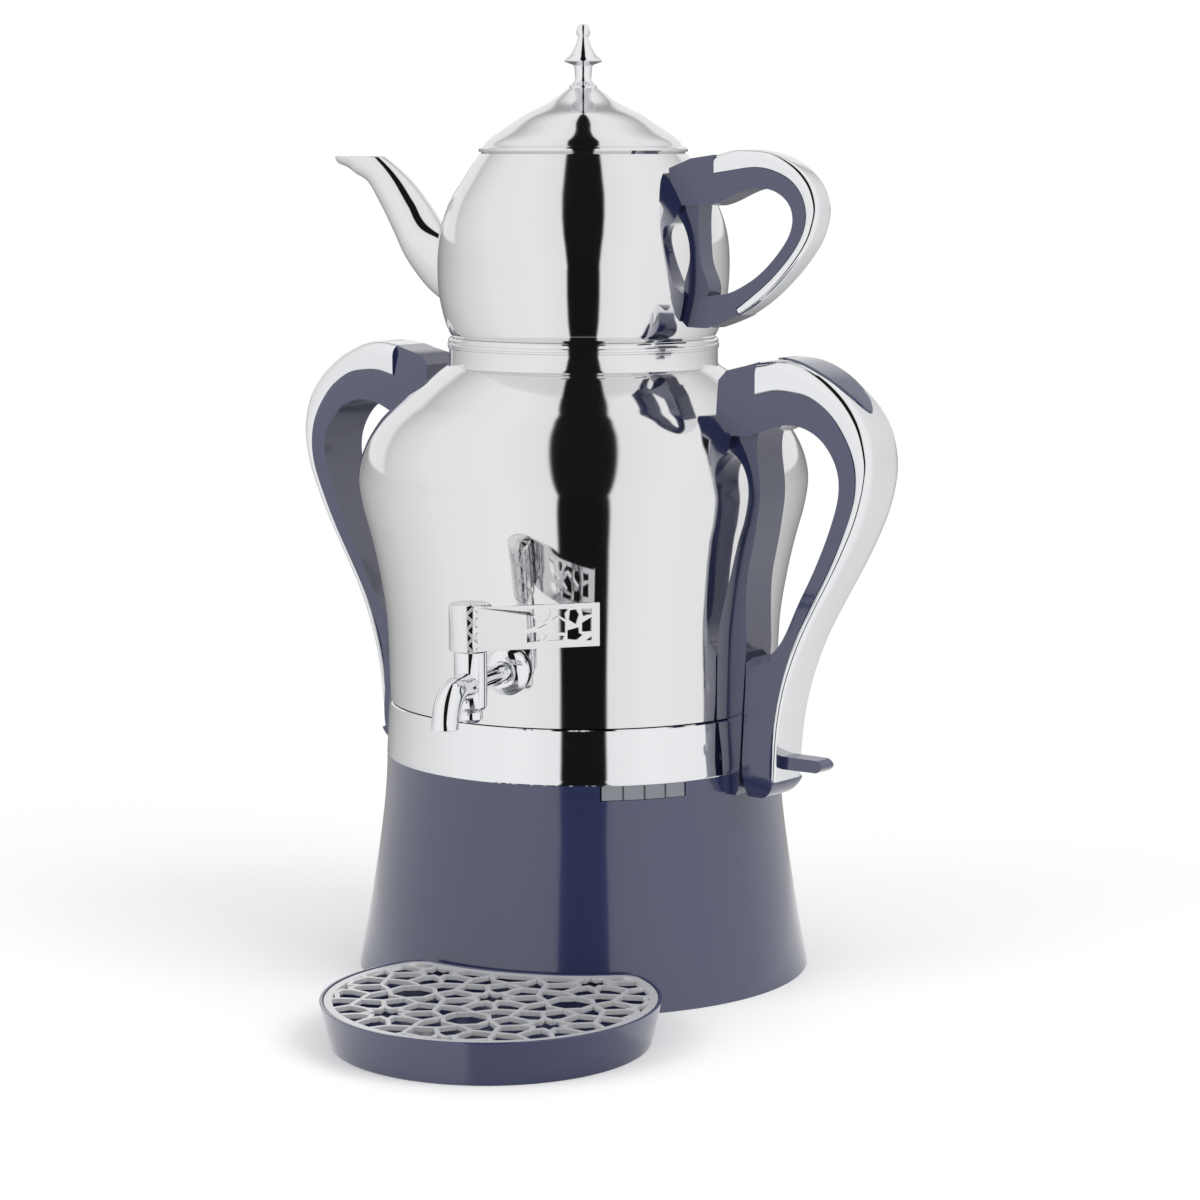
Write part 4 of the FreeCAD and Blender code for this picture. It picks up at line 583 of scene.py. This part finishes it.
bm = bmesh.new()
bmesh.ops.create_circle(bm, cap_ends=True, segments=96, radius=table["radius"])
floorMesh = bpy.data.meshes.new("studioFloor")
bm.to_mesh(floorMesh)
bm.free()
floor = bpy.data.objects.new("studioFloor", floorMesh)
bpy.context.scene.collection.objects.link(floor)
material, shader, tree = newMaterial("paleFloor", (0.93, 0.93, 0.93), 0, 0.6)
shader.inputs["Specular IOR Level"].default_value = table["gloss"]
shader.inputs["Emission Color"].default_value = (1, 1, 1, 1)
coords = addNode(tree, "ShaderNodeTexCoord")
reach = addNode(tree, "ShaderNodeVectorMath", operation="LENGTH")
tree.links.new(coords.outputs["Object"], reach.inputs[0])
rays = addNode(tree, "ShaderNodeLightPath")
tree.links.new(ranged(tree, rays.outputs["Is Camera Ray"], 0, table["glow"], 0, 1),
               shader.inputs["Emission Strength"])
far = addNode(tree, "ShaderNodeMath", operation="MULTIPLY")
tree.links.new(ranged(tree, reach.outputs["Value"], 0, 1, *table["fade"]), far.inputs[0])
tree.links.new(rays.outputs["Is Camera Ray"], far.inputs[1])
mirrored = addNode(tree, "ShaderNodeMath", operation="MULTIPLY")
tree.links.new(ranged(tree, reach.outputs["Value"], 0, 1, *table["shineFade"]), mirrored.inputs[0])
tree.links.new(rays.outputs["Is Glossy Ray"], mirrored.inputs[1])
white = addNode(tree, "ShaderNodeEmission")
white.inputs["Color"].default_value = (1, 1, 1, 1)
walls = addNode(tree, "ShaderNodeEmission")
tree.links.new(studioShade(tree, coords.outputs["Object"]), walls.inputs["Color"])
seenFar = addNode(tree, "ShaderNodeMixShader")
tree.links.new(far.outputs[0], seenFar.inputs[0])
tree.links.new(shader.outputs[0], seenFar.inputs[1])
tree.links.new(white.outputs[0], seenFar.inputs[2])
seenShiny = addNode(tree, "ShaderNodeMixShader")
tree.links.new(mirrored.outputs[0], seenShiny.inputs[0])
tree.links.new(seenFar.outputs[0], seenShiny.inputs[1])
tree.links.new(walls.outputs[0], seenShiny.inputs[2])
tree.links.new(seenShiny.outputs[0], tree.nodes["Material Output"].inputs["Surface"])
floorMesh.materials.append(material)

# ---- light ----
world = bpy.data.worlds.new("studio")
bpy.context.scene.world = world
world.use_nodes = True
tree = world.node_tree
plainSky = tree.nodes["Background"]
plainSky.inputs["Color"].default_value = (1, 1, 1, 1)
coords = addNode(tree, "ShaderNodeTexCoord")
rays = addNode(tree, "ShaderNodeLightPath")
tree.links.new(ranged(tree, rays.outputs["Is Camera Ray"], *skyGlow, 0, 1), plainSky.inputs["Strength"])
wallSky = addNode(tree, "ShaderNodeBackground")
tree.links.new(studioShade(tree, coords.outputs["Generated"]), wallSky.inputs["Color"])
sky = addNode(tree, "ShaderNodeMixShader")
tree.links.new(rays.outputs["Is Glossy Ray"], sky.inputs[0])
tree.links.new(plainSky.outputs[0], sky.inputs[1])
tree.links.new(wallSky.outputs[0], sky.inputs[2])
tree.links.new(sky.outputs[0], tree.nodes["World Output"].inputs["Surface"])

aimHeight = 0.2
lamps = {
    "keyLight": {"turn": 92, "rise": 42, "away": 2.6, "size": 1.6, "watts": 26},
    "fillLight": {"turn": -20, "rise": 35, "away": 2.6, "size": 1.6, "watts": 16},
}
for name, lamp in lamps.items():
    data = bpy.data.lights.new(name, "AREA")
    data.size = lamp["size"]
    data.energy = lamp["watts"]
    light = bpy.data.objects.new(name, data)
    turn, rise = radians(lamp["turn"]), radians(lamp["rise"])
    spot = Vector((sin(turn) * cos(rise), -cos(turn) * cos(rise), sin(rise))) * lamp["away"]
    light.location = spot + Vector((0, 0, aimHeight))
    light.rotation_euler = (-spot).to_track_quat("-Z", "Y").to_euler()
    light.visible_glossy = False
    bpy.context.scene.collection.objects.link(light)

bpy.context.scene.view_settings.view_transform = "Standard"
print("stage and light made")
